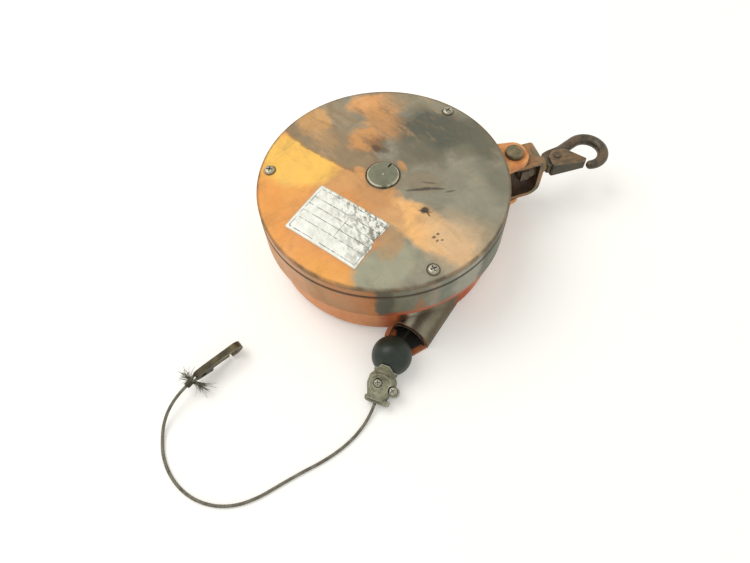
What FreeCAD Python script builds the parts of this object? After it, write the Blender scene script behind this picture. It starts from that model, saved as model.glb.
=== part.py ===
import FreeCAD, Part
import math
import os
from FreeCAD import Placement, Rotation, Vector

# Spring tool balancer lying on its back, cover up.
# Millimetres. +Z up. The origin is on the rest plane, under the drum axis.
# +X points from the drum axis to the suspension pin.

# ---- driving dimensions -------------------------------------------------
BODY_R = 75.0            # lower housing body
BAND_R = 80.0            # wider band that the cover closes
WALL = 2.8               # housing wall
BAND_FOOT = 30.5         # height where the body steps out to the band
SEAM = 53.4              # height of the joint between housing and cover
RIM = 62.0               # height of the cover's rim
CROWN = 5.0              # rise of the domed cover from rim to middle
COVER_T = 2.4            # cover thickness
GASKET_T = 0.6           # flat gasket in the seam
COVER_SCREW_R = 72.7     # circle of the cover screws
COVER_SCREW_ANGLES = (35.0, 155.0, 275.0)

PIN_X = 91.0             # suspension pin axis
PIN_R = 4.0
EAR_R = 8.9              # rounded end of the two suspension ears
EAR_T = 3.9
YOKE_HALF_W = 9.4        # half width of the yoke strap
YOKE_T = 3.0             # strap thickness
YOKE_LOW = 16.1          # yoke, over its legs
YOKE_HIGH = 49.0
YOKE_END = 111.2         # outer face of the yoke web
HOOK_Z = 34.5            # height of the hook's swivel axis

PULL_ANGLE = 38.75       # rope line, measured from the line through drum axis and pin
ROPE_R = 1.0             # 2 mm wire rope
ROPE_Z = 12.5            # height at which the rope leaves
TURN_PITCH = 2.2         # rope turns on the drum, axially
FULL_TURNS = 5           # full turns above the leaving turn
DRUM_PITCH_R = PIN_X * math.sin(math.radians(PULL_ANGLE))  # rope line passes through the pin
BALL_R = 12.5
BALL_T = 79.3            # ball centre along the rope line

BUSH_GAP = 0.05          # radial running clearance
FIT_GAP = 0.3            # gap between neighbouring moving faces

MODULE = 1.0             # worm drive
WHEEL_TEETH = 40
WHEEL_PITCH_R = MODULE * WHEEL_TEETH / 2
WORM_PITCH_R = 3.2
WORM_TIP_R = 4.1
WORM_ROOT_R = 2.0
WORM_Z = 56.9
WORM_OFFSET = WHEEL_PITCH_R + WORM_PITCH_R
WORM_ANGLE = 105.0       # direction of the worm shaft, towards its key end
FLANK = math.tan(math.radians(20.0))

PARTS = {}


def keep(name, *solids):
    """Store the solids of one node."""
    PARTS[name] = solids[0] if len(solids) == 1 else Part.makeCompound(list(solids))


# ---- small builders -----------------------------------------------------
def outline(corners):
    """Closed wire in XY through corners (x, y, radius); each corner is rounded by its radius."""
    stretches = []
    for index, (x, y, radius) in enumerate(corners):
        here = Vector(x, y, 0)
        if radius == 0:
            stretches.append((here, here, here))
            continue
        before = Vector(*corners[index - 1][:2], 0) - here
        after = Vector(*corners[(index + 1) % len(corners)][:2], 0) - here
        half = before.getAngle(after) / 2
        before.normalize()
        after.normalize()
        inward = (before + after).normalize()
        reach = radius / math.tan(half)
        middle = here + inward * (radius / math.sin(half) - radius)
        stretches.append((here + before * reach, middle, here + after * reach))
    edges = []
    for index, (start, middle, end) in enumerate(stretches):
        if start.distanceToPoint(end) > 1e-6:
            edges.append(Part.Arc(start, middle, end).toShape())
        following = stretches[(index + 1) % len(stretches)][0]
        if end.distanceToPoint(following) > 1e-6:
            edges.append(Part.LineSegment(end, following).toShape())
    return Part.Wire(edges)


def sharp(*points):
    """Corners with no rounding."""
    return [(x, y, 0) for x, y in points]


def turned(corners):
    """Solid turned about Z from a section of corners (radius, height, rounding)."""
    solid = Part.Face(outline(corners)).revolve(Vector(0, 0, 0), Vector(0, 1, 0), 360)
    solid.rotate(Vector(0, 0, 0), Vector(1, 0, 0), 90)
    return solid


def slab(corners, low, high):
    """Plan outline raised from height low to height high."""
    solid = Part.Face(outline(corners)).extrude(Vector(0, 0, high - low))
    solid.translate(Vector(0, 0, low))
    return solid


def side_slab(corners, half_width):
    """Outline in the XZ plane, extruded half_width each way along Y."""
    solid = Part.Face(outline(corners)).extrude(Vector(0, 0, 2 * half_width))
    solid.rotate(Vector(0, 0, 0), Vector(1, 0, 0), 90)
    solid.translate(Vector(0, half_width, 0))
    return solid


def rod(radius, start, end):
    """Round bar between two points."""
    start, end = Vector(*start), Vector(*end)
    axis = end - start
    return Part.makeCylinder(radius, axis.Length, start, axis)


def tube(outer, inner, start, end):
    return rod(outer, start, end).cut(rod(inner, start, end))


def block(low, high):
    return Part.makeBox(high[0] - low[0], high[1] - low[1], high[2] - low[2], Vector(*low))


def placed(shape, origin=(0, 0, 0), heading=0.0, dip=0.0, roll=0.0):
    """Copy of a shape, rolled about X, dipped about Y, headed about Z, then moved."""
    turn = Rotation(Vector(0, 0, 1), heading) * Rotation(Vector(0, 1, 0), dip)
    turn = turn * Rotation(Vector(1, 0, 0), roll)
    moved = shape.copy()
    moved.transformShape(Placement(Vector(*origin), turn).toMatrix(), True)
    return moved


def around(shape, angles):
    """Copies of a shape turned about Z to each angle."""
    return [placed(shape, heading=angle) for angle in angles]


def polar(radius, angle, height):
    """Point on a circle about Z."""
    turn = math.radians(angle)
    return (radius * math.cos(turn), radius * math.sin(turn), height)


def fused(first, *others):
    return first.fuse(list(others)).removeSplitter() if others else first


def cut_by(first, *others):
    return first.cut(list(others))


# ---- frames of the rope line and of the worm ----------------------------
PULL_HEADING = 180.0 + PULL_ANGLE
LINE_FOOT = polar(DRUM_PITCH_R, PULL_HEADING + 90.0, 0.0)


def on_rope_line(shape):
    """From the rope line's own frame (X along the pull, Y away from the drum) to the part."""
    return placed(shape, LINE_FOOT, heading=PULL_HEADING)


def line_point(along, height):
    """Point on the rope line."""
    turn = math.radians(PULL_HEADING)
    return (LINE_FOOT[0] + along * math.cos(turn), LINE_FOOT[1] + along * math.sin(turn), height)


def at_worm(shape):
    """From the worm's own frame (X along its shaft) to the part."""
    return placed(shape, polar(WORM_OFFSET, WORM_ANGLE + 90.0, WORM_Z), heading=WORM_ANGLE)


# ---- housing ------------------------------------------------------------
HOOD_HALF_W = 13.4       # rope guide hood, an arch cast on the body
HOOD_TOP = 17.4
HOOD_WALL = 2.4
HOOD_START = 15.0
ROOF_END = 58.2
TONGUE_TOP = 2.8         # floor of the guide, running on past the roof
LINER_T = 0.8


def arch(half_width, spring_line, start, end, floor):
    """Tunnel form along X: flat floor, straight sides and a half-round roof."""
    section = [
        Part.LineSegment(Vector(0, -half_width, floor), Vector(0, half_width, floor)).toShape(),
        Part.LineSegment(Vector(0, half_width, floor), Vector(0, half_width, spring_line)).toShape(),
        Part.Arc(Vector(0, half_width, spring_line), Vector(0, 0, spring_line + half_width),
                 Vector(0, -half_width, spring_line)).toShape(),
        Part.LineSegment(Vector(0, -half_width, spring_line), Vector(0, -half_width, floor)).toShape(),
    ]
    solid = Part.Face(Part.Wire(section)).extrude(Vector(end - start, 0, 0))
    solid.translate(Vector(start, 0, 0))
    return solid


def hood():
    """Outer form of the rope guide: arch, slanted tongue and the low lip on the tongue's inner side."""
    roof = arch(HOOD_HALF_W, HOOD_TOP - HOOD_HALF_W, HOOD_START, ROOF_END, 0)
    tongue = slab([(50, -14.3, 0), (66.5, -14.3, 2), (68.3, 8.3, 1.5), (57.7, 13.3, 1), (50, 13.3, 0)], 0, TONGUE_TOP)
    lip = side_slab(sharp((50, 0), (65.8, 0), (65.8, TONGUE_TOP), (ROOF_END, 9.5), (50, 9.5)), 1.4)
    lip.translate(Vector(0, -12.9, 0))
    return fused(roof, tongue, lip)


def hood_tunnel():
    """Hollow of the rope guide, open into the drum space."""
    return arch(HOOD_HALF_W - HOOD_WALL, HOOD_TOP - HOOD_HALF_W, HOOD_START, ROOF_END + 12, TONGUE_TOP)


def ear(low, high, root):
    """Suspension ear: a tapered plate with a round end about the pin."""
    end = PIN_X + EAR_R
    return slab([(root, -15, 0), (end, -EAR_R, EAR_R - 0.1), (end, EAR_R, EAR_R - 0.1),
                 (root, 15, 0)], low, high)


UPPER_EAR_LOW = YOKE_HIGH + FIT_GAP
LOWER_EAR_HIGH = YOKE_LOW - FIT_GAP


def housing():
    shell = turned([(0, 0, 0), (BODY_R, 0, 8), (BODY_R, BAND_FOOT, 1.6), (BAND_R, BAND_FOOT, 1.4),
                    (BAND_R, SEAM, 0.5), (0, SEAM, 0)])
    upper = ear(UPPER_EAR_LOW, UPPER_EAR_LOW + EAR_T, 68)
    lower = ear(LOWER_EAR_HIGH - EAR_T, LOWER_EAR_HIGH, 66)
    rib = side_slab(sharp((70, LOWER_EAR_HIGH - 2), (BAND_R - 0.6, LOWER_EAR_HIGH - 2), (BAND_R - 0.6, BAND_FOOT + 1),
                          (70, BAND_FOOT + 1)), 4)
    solid = fused(shell, upper, lower, rib, on_rope_line(hood()))
    inner_r = BODY_R - WALL
    hollow = turned([(0, WALL, 0), (inner_r, WALL, 5.5), (inner_r, BAND_FOOT + WALL, 1.2),
                     (BAND_R - WALL, BAND_FOOT + WALL, 1.2), (BAND_R - WALL, SEAM + 1, 0),
                     (0, SEAM + 1, 0)])
    solid = cut_by(solid, hollow, on_rope_line(hood_tunnel()))
    centre_boss = turned([(9, WALL - 0.5, 0), (14, WALL - 0.5, 0), (14, 10, 1), (9, 10, 0)])
    pillar = rod(5, (COVER_SCREW_R, 0, BAND_FOOT + 1), (COVER_SCREW_R, 0, SEAM))
    pillar = pillar.common(rod(BAND_R - 1, (0, 0, 0), (0, 0, SEAM)))
    solid = fused(solid, centre_boss, *around(pillar, COVER_SCREW_ANGLES))
    screw_hole = rod(1.65, (COVER_SCREW_R, 0, SEAM - 14), (COVER_SCREW_R, 0, SEAM + 1))
    pin_hole = rod(PIN_R, (PIN_X, 0, 0), (PIN_X, 0, SEAM + 5))
    keep("housing", cut_by(solid, pin_hole, *around(screw_hole, COVER_SCREW_ANGLES)))


def guide_liner():
    """Black liner in the hood; its throat keeps the rope on the line."""
    start, end = 44.0, ROOF_END + 1.0
    half_width = HOOD_HALF_W - HOOD_WALL
    spring = HOOD_TOP - HOOD_HALF_W
    outer = arch(half_width, spring, start, end, TONGUE_TOP)
    inner = arch(half_width - LINER_T, spring, start + 4, end + 1, TONGUE_TOP + LINER_T)
    throat = slab([(start - 1, -2.2, 0), (start + 5, -2.2, 0), (start + 5, 2.2, 0), (start - 1, 2.2, 0)],
                  ROPE_Z - 3.5, HOOD_TOP - HOOD_WALL - LINER_T)
    keep("guide_liner", on_rope_line(cut_by(outer, inner, throat)))


def gasket():
    ring = tube(BAND_R - 0.5, BAND_R - WALL, (0, 0, SEAM), (0, 0, SEAM + GASKET_T))
    pads = [rod(4.6, polar(COVER_SCREW_R, a, SEAM), polar(COVER_SCREW_R, a, SEAM + GASKET_T))
            for a in COVER_SCREW_ANGLES]
    pads = [pad.common(rod(BAND_R - 1, (0, 0, 0), (0, 0, 60))) for pad in pads]
    holes = [rod(2.2, polar(COVER_SCREW_R, a, SEAM - 1), polar(COVER_SCREW_R, a, SEAM + 2))
             for a in COVER_SCREW_ANGLES]
    keep("cover_gasket", cut_by(fused(ring, *pads), *holes))


# ---- cover --------------------------------------------------------------
COVER_R = 79.7
CAP_R = 10.0             # visible end of the spring shaft
CAP_TOP = RIM + CROWN + 1.2
COVER_BUSH_R = 12.5


def dome_height(radius):
    """Height of the cover's top face at a radius."""
    return RIM + CROWN * (1 - (radius / COVER_R) ** 2)


def dome_arc(lift, inner_r, outer_r):
    """Arc of the crown in the section plane, lifted or lowered."""
    middle = (inner_r + outer_r) / 2
    return Part.Arc(*(Vector(r, dome_height(r) + lift, 0) for r in (inner_r, middle, outer_r))).toShape()


def dome_skin(low_lift, high_lift, outer_r):
    """Thin domed disc between two offsets of the crown."""
    upper = dome_arc(high_lift, 0, outer_r)
    lower = dome_arc(low_lift, 0, outer_r)
    side = Part.LineSegment(Vector(outer_r, dome_height(outer_r) + low_lift, 0),
                            Vector(outer_r, dome_height(outer_r) + high_lift, 0)).toShape()
    axis = Part.LineSegment(Vector(0, dome_height(0) + low_lift, 0),
                            Vector(0, dome_height(0) + high_lift, 0)).toShape()
    face = Part.Face(Part.Wire(Part.__sortEdges__([upper, side, lower, axis])))
    solid = face.revolve(Vector(0, 0, 0), Vector(0, 1, 0), 360)
    solid.rotate(Vector(0, 0, 0), Vector(1, 0, 0), 90)
    return solid


def worm_bearing(start, end, bore):
    """Bearing lug under the cover, in the worm's frame."""
    return block((start, -4.2, -3.5), (end, 5, 8.5)).cut(rod(bore, (start - 1, 0, 0), (end + 1, 0, 0)))


def cover():
    skirt_foot = SEAM + GASKET_T
    crown = dome_skin(-COVER_T, 0, COVER_R)
    skirt = turned([(COVER_R - 2.3, skirt_foot, 0), (COVER_R, skirt_foot, 0.4), (COVER_R, RIM, 0),
                    (COVER_R - 2.3, RIM, 0)])
    hub = rod(16, (0, 0, 60.2), (0, 0, RIM + CROWN - 1))
    pillar = rod(4.6, (COVER_SCREW_R, 0, skirt_foot), (COVER_SCREW_R, 0, RIM - 1))
    lugs = [at_worm(worm_bearing(-13.2, -9.3, WORM_LEFT_R + BUSH_GAP)),
            at_worm(worm_bearing(9.3, 14.5, WORM_RIGHT_R + BUSH_GAP)),
            at_worm(worm_bearing(57, 61, WORM_RIGHT_R + BUSH_GAP))]
    under_crown = dome_skin(-12, -0.8, COVER_R - 1)
    lugs = [lug.common(under_crown) for lug in lugs]
    solid = fused(crown, skirt, hub, *around(pillar, COVER_SCREW_ANGLES), *lugs)
    rim_knife = turned([(COVER_R - 1.3, RIM + 1, 0), (COVER_R + 1, RIM + 1, 0), (COVER_R + 1, RIM - 1.3, 0)])
    shaft_hole = turned(sharp((0, 59), (COVER_BUSH_R, 59), (COVER_BUSH_R, 65.4), (CAP_R + 0.8, 65.4),
                              (CAP_R + 0.8, 70), (0, 70)))
    screw_hole = rod(2.2, (COVER_SCREW_R, 0, SEAM), (COVER_SCREW_R, 0, RIM + 5))
    spot_face = rod(4.1, (COVER_SCREW_R, 0, RIM + 0.2), (COVER_SCREW_R, 0, RIM + 5))
    key_hole = at_worm(rod(2.6, (66, 0, 0), (90, 0, 0)))
    keep("cover", cut_by(solid, rim_knife, shaft_hole, key_hole, *around(screw_hole, COVER_SCREW_ANGLES),
                         *around(spot_face, COVER_SCREW_ANGLES)))


def cross_recess(size, depth):
    """Cross slot cut from height 0 down."""
    arm = block((-size, -size / 4.5, -depth), (size, size / 4.5, 1))
    return arm.fuse(placed(arm, heading=90))


def pan_screw(head_r, head_h, shank_r, length):
    """Pan head screw standing on height 0, shank down, with a cross recess."""
    head = turned([(0, 0, 0), (head_r, 0, 0.2), (head_r, head_h, head_h * 0.7), (0, head_h, 0)])
    shank = rod(shank_r, (0, 0, -length), (0, 0, 0.2))
    return head.fuse(shank).cut(placed(cross_recess(head_r * 0.62, head_h * 0.6), (0, 0, head_h)))


def cover_screws():
    screw = pan_screw(3.5, 2.4, 1.65, 18)
    keep("cover_screws", *[placed(screw, polar(COVER_SCREW_R, a, RIM + 0.2), heading=a)
                           for a in COVER_SCREW_ANGLES])


LABEL_CENTRE = (-37.1, -26.3)
LABEL_HEADING = 35.8
LABEL_SIZE = (36.0, 53.2)


def label_plate():
    """Blank foil plate on the dome; one short edge is torn."""
    half_x, half_y = LABEL_SIZE[0] / 2, LABEL_SIZE[1] / 2
    plan = slab([(-half_x, -half_y, 1.5), (-half_x + 8, -half_y + 0.6, 1), (-2, -half_y + 0.2, 1.5),
                 (4, -half_y + 2.4, 1), (9, -half_y + 1.2, 1), (half_x, -half_y + 0.6, 1.5),
                 (half_x, half_y, 1.5), (-half_x, half_y, 1.5)], 50, 80)
    foil = dome_skin(0.0, 0.25, 78)
    keep("label_plate", foil.common(placed(plan, (*LABEL_CENTRE, 0), heading=LABEL_HEADING)))


def cover_bush():
    keep("cover_bush", turned(sharp((CAP_R + BUSH_GAP, 60.2), (COVER_BUSH_R, 60.2), (COVER_BUSH_R, 65.3),
                                    (CAP_R + BUSH_GAP, 65.3))))


# ---- spring shaft and worm drive ----------------------------------------
JOURNAL_R = 6.0
SPRING_HUB_R = 11.0
WHEEL_SEAT_R = 8.0
WHEEL_LOW = WORM_Z - 2.5
WHEEL_HIGH = WORM_Z + 2.5
WORM_LEFT_R = 2.0
WORM_RIGHT_R = 2.5


def key_box(grow):
    """Parallel key between shaft and worm wheel, on the +X side."""
    return block((WHEEL_SEAT_R - 1.5 - grow, -1.5, WHEEL_LOW), (WHEEL_SEAT_R + 1.5, 1.5, WHEEL_HIGH + grow))


def spring_shaft():
    shaft = turned([(0, 3.2, 0), (JOURNAL_R, 3.2, 0.6), (JOURNAL_R, 31.6, 0), (SPRING_HUB_R, 31.6, 0.5),
                    (SPRING_HUB_R, WHEEL_LOW, 0.4), (WHEEL_SEAT_R, WHEEL_LOW, 0), (WHEEL_SEAT_R, WHEEL_HIGH, 0.3),
                    (JOURNAL_R, WHEEL_HIGH, 0), (JOURNAL_R, 66.0, 0.5), (0, 66.0, 0)])
    keep("spring_shaft", shaft.cut(key_box(0)))
    cap = turned([(0, 66.0, 0), (JOURNAL_R, 66.0, 0), (JOURNAL_R, WHEEL_HIGH + 0.2, 0),
                  (CAP_R, WHEEL_HIGH + 0.2, 0), (CAP_R, CAP_TOP - 0.6, 0), (CAP_R - 0.7, CAP_TOP, 0), (0, CAP_TOP, 0)])
    centre_mark = Part.makeCone(0, 0.7, 0.6, Vector(0, 0, CAP_TOP - 0.6))
    slot = placed(block((6.6, -0.42, CAP_TOP - 1.4), (CAP_R + 1, 0.42, CAP_TOP + 1)), heading=39)
    keep("shaft_cap", cut_by(cap, centre_mark, slot))
    keep("wheel_key", key_box(0))


def worm_wheel():
    """Worm wheel whose gaps slant by the worm's lead angle."""
    blank = turned([(WHEEL_SEAT_R, WHEEL_LOW, 0), (WHEEL_PITCH_R + 0.9, WHEEL_LOW, 0.4),
                    (WHEEL_PITCH_R + 0.9, WHEEL_HIGH, 0.4), (WHEEL_SEAT_R, WHEEL_HIGH, 0)])
    groove = turned([(11, WHEEL_HIGH - 1, 0), (17, WHEEL_HIGH - 1, 0), (17, WHEEL_HIGH + 1, 0),
                     (11, WHEEL_HIGH + 1, 0)])
    gap_half = 0.90
    inner, outer = 18.7, 21.6
    gap = Part.Face(outline(sharp(
        (inner, -gap_half + (WHEEL_PITCH_R - inner) * FLANK), (outer, -gap_half - (outer - WHEEL_PITCH_R) * FLANK),
        (outer, gap_half + (outer - WHEEL_PITCH_R) * FLANK), (inner, gap_half - (WHEEL_PITCH_R - inner) * FLANK))))
    gap = gap.extrude(Vector(0, 0, 8))
    gap.translate(Vector(0, 0, -4))
    lead = math.degrees(math.atan(MODULE / 2 / WORM_PITCH_R))
    gap.rotate(Vector(WHEEL_PITCH_R, 0, 0), Vector(1, 0, 0), -lead)
    gap.translate(Vector(0, 0, WORM_Z))
    first = WORM_ANGLE + 90.0
    gaps = around(gap, [first + 360.0 * n / WHEEL_TEETH for n in range(WHEEL_TEETH)])
    keep("worm_wheel", cut_by(blank, groove, key_box(0), Part.makeCompound(gaps)))


def worm_shaft():
    """Single-start worm on its shaft, with a hexagon socket at the key end."""
    pitch = math.pi * MODULE
    turns = 7
    helix = Part.makeHelix(pitch, turns * pitch, WORM_PITCH_R)
    half = 0.70
    section = outline(sharp(
        (WORM_ROOT_R - 0.3, -half - (WORM_PITCH_R - WORM_ROOT_R + 0.3) * FLANK),
        (WORM_TIP_R, -half + (WORM_TIP_R - WORM_PITCH_R) * FLANK),
        (WORM_TIP_R, half - (WORM_TIP_R - WORM_PITCH_R) * FLANK),
        (WORM_ROOT_R - 0.3, half + (WORM_PITCH_R - WORM_ROOT_R + 0.3) * FLANK)))
    section.rotate(Vector(0, 0, 0), Vector(1, 0, 0), 90)
    thread = Part.Wire(helix.Edges).makePipeShell([section], True, True)
    thread.translate(Vector(0, 0, -pitch * turns / 2))
    thread = thread.common(rod(5, (0, 0, -8), (0, 0, 8)))
    solid = fused(rod(WORM_ROOT_R, (0, 0, -13), (0, 0, 10)), thread)
    solid = fused(solid, rod(3.3, (0, 0, -9.2), (0, 0, -8)), rod(3.3, (0, 0, 8), (0, 0, 9.2)))
    solid = fused(solid, rod(WORM_RIGHT_R, (0, 0, 9.2), (0, 0, 62)))
    socket = Part.Face(Part.makePolygon([Vector(*polar(4 / math.sqrt(3), 60 * n, 57)) for n in range(7)]))
    solid = solid.cut(socket.extrude(Vector(0, 0, 6)))
    to_x = Rotation(Vector(0, 1, 0), Vector(0, 0, 1), Vector(1, 0, 0), "XYZ")
    solid.transformShape(Placement(Vector(0, 0, 0), to_x).toMatrix(), True)
    keep("worm_shaft", at_worm(solid))
    clip = tube(4.2, WORM_RIGHT_R, (15, 0, 0), (15.8, 0, 0)).cut(block((14, -1, 0), (17, 1, 6)))
    keep("worm_clip", at_worm(clip))


def base_bush():
    keep("base_bush", turned(sharp((JOURNAL_R + BUSH_GAP, WALL), (9, WALL), (9, 10.6), (JOURNAL_R + BUSH_GAP, 10.6))))


# ---- drum, rope turns and mainspring ------------------------------------
BARREL_R = 67.0
BARREL_IN = 64.0
WEB_LOW = 26.0
WEB_HIGH = 28.6
BARREL_TOP = 50.6
DRUM_ROOT_R = DRUM_PITCH_R - ROPE_R
FLANGE_R = DRUM_PITCH_R + 4.0
SPRING_COVER_T = 1.6


def rope_drum():
    """Cast drum: rope rim below the web, spring barrel above it."""
    section = [(8, 12, 0), (13, 12, 1), (13, WEB_LOW, 1.5), (DRUM_ROOT_R - 4, WEB_LOW, 1.5),
               (DRUM_ROOT_R - 4, 8, 0), (FLANGE_R, 8, 0.6), (FLANGE_R, 10.2, 0.6), (DRUM_ROOT_R, 10.8, 0),
               (DRUM_ROOT_R, 25.4, 0), (FLANGE_R, WEB_LOW, 0.5), (BARREL_R, WEB_LOW, 1), (BARREL_R, BARREL_TOP, 0),
               (BARREL_IN, BARREL_TOP, 0), (BARREL_IN, WEB_HIGH, 1), (13, WEB_HIGH, 0), (13, 30, 0.5), (8, 30, 0)]
    solid = turned(section)
    rib = block((12.5, -1.25, 14), (DRUM_ROOT_R - 3.5, 1.25, WEB_LOW + 0.5))
    ribs = around(rib, range(0, 360, 60))
    screw_holes = [rod(1.0, polar(65.5, a, BARREL_TOP - 5), polar(65.5, a, BARREL_TOP + 1)) for a in (45, 135, 225, 315)]
    keep("rope_drum", cut_by(fused(solid, *ribs), *screw_holes))


def drum_bushes():
    inner = JOURNAL_R + BUSH_GAP
    keep("drum_bush_lower", turned(sharp((inner, 10.9), (10.5, 10.9), (10.5, 12), (8, 12), (8, 18), (inner, 18))))
    keep("drum_bush_upper", turned(sharp((inner, 24), (8, 24), (8, 30), (10.5, 30), (10.5, 31.3), (inner, 31.3))))


def rope_turns():
    """Full turns wound on the rim, and the leaving turn that ends where the rope leaves."""
    first = ROPE_Z + TURN_PITCH
    edges = []
    half = TURN_PITCH / 2
    rise = math.sqrt(ROPE_R ** 2 - (half * 0.86) ** 2)
    for n in range(FULL_TURNS):
        centre = first + n * TURN_PITCH
        low = Vector(DRUM_PITCH_R + rise, centre - half * 0.86, 0)
        high = Vector(DRUM_PITCH_R + rise, centre + half * 0.86, 0)
        edges.append(Part.Arc(low, Vector(DRUM_PITCH_R + ROPE_R, centre, 0), high).toShape())
        if n + 1 < FULL_TURNS:
            following = Vector(DRUM_PITCH_R + rise, centre + TURN_PITCH - half * 0.86, 0)
            edges.append(Part.LineSegment(high, following).toShape())
    start = edges[0].Vertexes[0].Point
    end = edges[-1].Vertexes[-1].Point
    foot_high, foot_low = Vector(DRUM_ROOT_R, end.y, 0), Vector(DRUM_ROOT_R, start.y, 0)
    for a, b in ((end, foot_high), (foot_high, foot_low), (foot_low, start)):
        edges.append(Part.LineSegment(a, b).toShape())
    turns = Part.Face(Part.Wire(edges)).revolve(Vector(0, 0, 0), Vector(0, 1, 0), 360)
    turns.rotate(Vector(0, 0, 0), Vector(1, 0, 0), 90)
    leaving = Part.makeTorus(DRUM_PITCH_R, ROPE_R - 0.02, Vector(0, 0, ROPE_Z), Vector(0, 0, 1), -180, 180, 300)
    keep("rope_turns", turns, placed(leaving, heading=PULL_HEADING + 90.0))


def mainspring():
    """Flat spiral spring between the shaft hub and the barrel wall, in half-round arcs."""
    turns, strip = 10, 1.1
    inner_r, outer_r = SPRING_HUB_R + 0.6, BARREL_IN - 0.4
    step = (outer_r - strip - inner_r) / (2 * turns)

    def spiral(extra):
        edges = []
        for n in range(2 * turns):
            centre, side = (0, 1) if n % 2 == 0 else (step, -1)
            radius = inner_r + n * step + extra
            ends = [Vector(centre + side * radius, 0, 0), Vector(centre - side * radius, 0, 0)]
            edges.append(Part.Arc(ends[0], Vector(centre, side * radius, 0), ends[1]).toShape())
        return edges
    inside, outside = spiral(0), spiral(strip)
    tips = [Part.LineSegment(inside[k].Vertexes[k].Point, outside[k].Vertexes[k].Point).toShape() for k in (0, -1)]
    solid = Part.Face(Part.Wire(Part.__sortEdges__(inside + outside + tips))).extrude(Vector(0, 0, 19.8))
    solid.translate(Vector(0, 0, WEB_HIGH + 1.7))
    keep("mainspring", solid)


def spring_cover():
    top = BARREL_TOP + SPRING_COVER_T
    disc = turned([(12.5, BARREL_TOP, 0), (BARREL_R, BARREL_TOP, 0), (BARREL_R, top, 0.6), (12.5, top, 0)])
    angles = (45, 135, 225, 315)
    holes = [rod(1.0, polar(65.5, a, BARREL_TOP - 1), polar(65.5, a, top + 1)) for a in angles]
    keep("spring_cover", cut_by(disc, *holes))
    screw = turned([(0, top, 0), (1.8, top, 0), (1.8, top + 1.0, 0.4), (0, top + 1.0, 0)])
    screw = screw.fuse(rod(1.0, (0, 0, BARREL_TOP - 4.5), (0, 0, top + 0.2)))
    screw = screw.cut(block((-2, -0.25, top + 0.6), (2, 0.25, top + 2)))
    keep("spring_cover_screws", *[placed(screw, polar(65.5, a, 0), heading=a) for a in angles])


# ---- suspension ---------------------------------------------------------
def suspension_pin():
    top = UPPER_EAR_LOW + EAR_T
    foot = LOWER_EAR_HIGH - EAR_T
    head = turned([(0, top, 0), (6.1, top, 0.3), (6.1, top + 3.2, 1.3), (0, top + 3.2, 0)])
    pin = fused(head, rod(PIN_R, (0, 0, foot - 3), (0, 0, top + 0.5)))
    groove = tube(PIN_R + 1, PIN_R - 0.8, (0, 0, foot - 1.4), (0, 0, foot - 0.3))
    keep("suspension_pin", placed(pin.cut(groove), (PIN_X, 0, 0)))
    ring = tube(PIN_R + 2.4, PIN_R - 0.8, (0, 0, foot - 1.35), (0, 0, foot - 0.35))
    keep("pin_ring", placed(ring.cut(block((-1.6, 2, foot - 3), (1.6, 9, foot))), (PIN_X, 0, 0)))


def yoke():
    """Strap bent to a U, its legs rounded about the pin."""
    low, high = YOKE_LOW, YOKE_HIGH
    start = PIN_X - YOKE_HALF_W
    inner_end = YOKE_END - YOKE_T
    strap = side_slab([(start, low, 0), (YOKE_END, low, 9), (YOKE_END + 0.4, 30, 0), (YOKE_END - 0.6, high, 4.5),
                       (start, high, 0), (start, high - YOKE_T, 0), (inner_end - 0.6, high - YOKE_T, 2),
                       (inner_end, low + YOKE_T, 6), (start, low + YOKE_T, 0)], YOKE_HALF_W)
    plan = slab([(start, -YOKE_HALF_W, YOKE_HALF_W - 0.05), (YOKE_END + 0.5, -YOKE_HALF_W, 1.2),
                 (YOKE_END + 0.5, YOKE_HALF_W, 1.2), (start, YOKE_HALF_W, YOKE_HALF_W - 0.05)], low, high)
    strap = strap.common(plan)
    pin_hole = rod(PIN_R + BUSH_GAP, (PIN_X, 0, 0), (PIN_X, 0, 60))
    shank_hole = rod(SHANK_R + BUSH_GAP, (inner_end - 2, 0, HOOK_Z), (YOKE_END + 2, 0, HOOK_Z))
    face = block((YOKE_END, -7, HOOK_Z - 7), (YOKE_END + 2, 7, HOOK_Z + 7))
    back_face = block((inner_end - 2, -7.5, HOOK_Z - 7.5), (inner_end, 7.5, HOOK_Z + 7.5))
    keep("yoke", cut_by(strap, pin_hole, shank_hole, face, back_face))


SHANK_R = 4.0
BAR_R = 3.75             # round bar of the hook
BOW_CENTRE_X = 148.6
BOW_R = 11.8             # to the bar's centre line
BACK_SLOPE = 20.0        # the straight back leaves the swivel axis at this angle
NOSE_ANGLE = -102.0
GATE_PIVOT = (125.5, 0.0)
HEEL_R = 6.2             # the heel is round about the gate's pivot
HEEL_HALF_T = 3.9
RIVET_R = 1.6


def bow_point(angle):
    turn = math.radians(angle)
    return Vector(BOW_CENTRE_X + BOW_R * math.cos(turn), BOW_R * math.sin(turn), 0)


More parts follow.
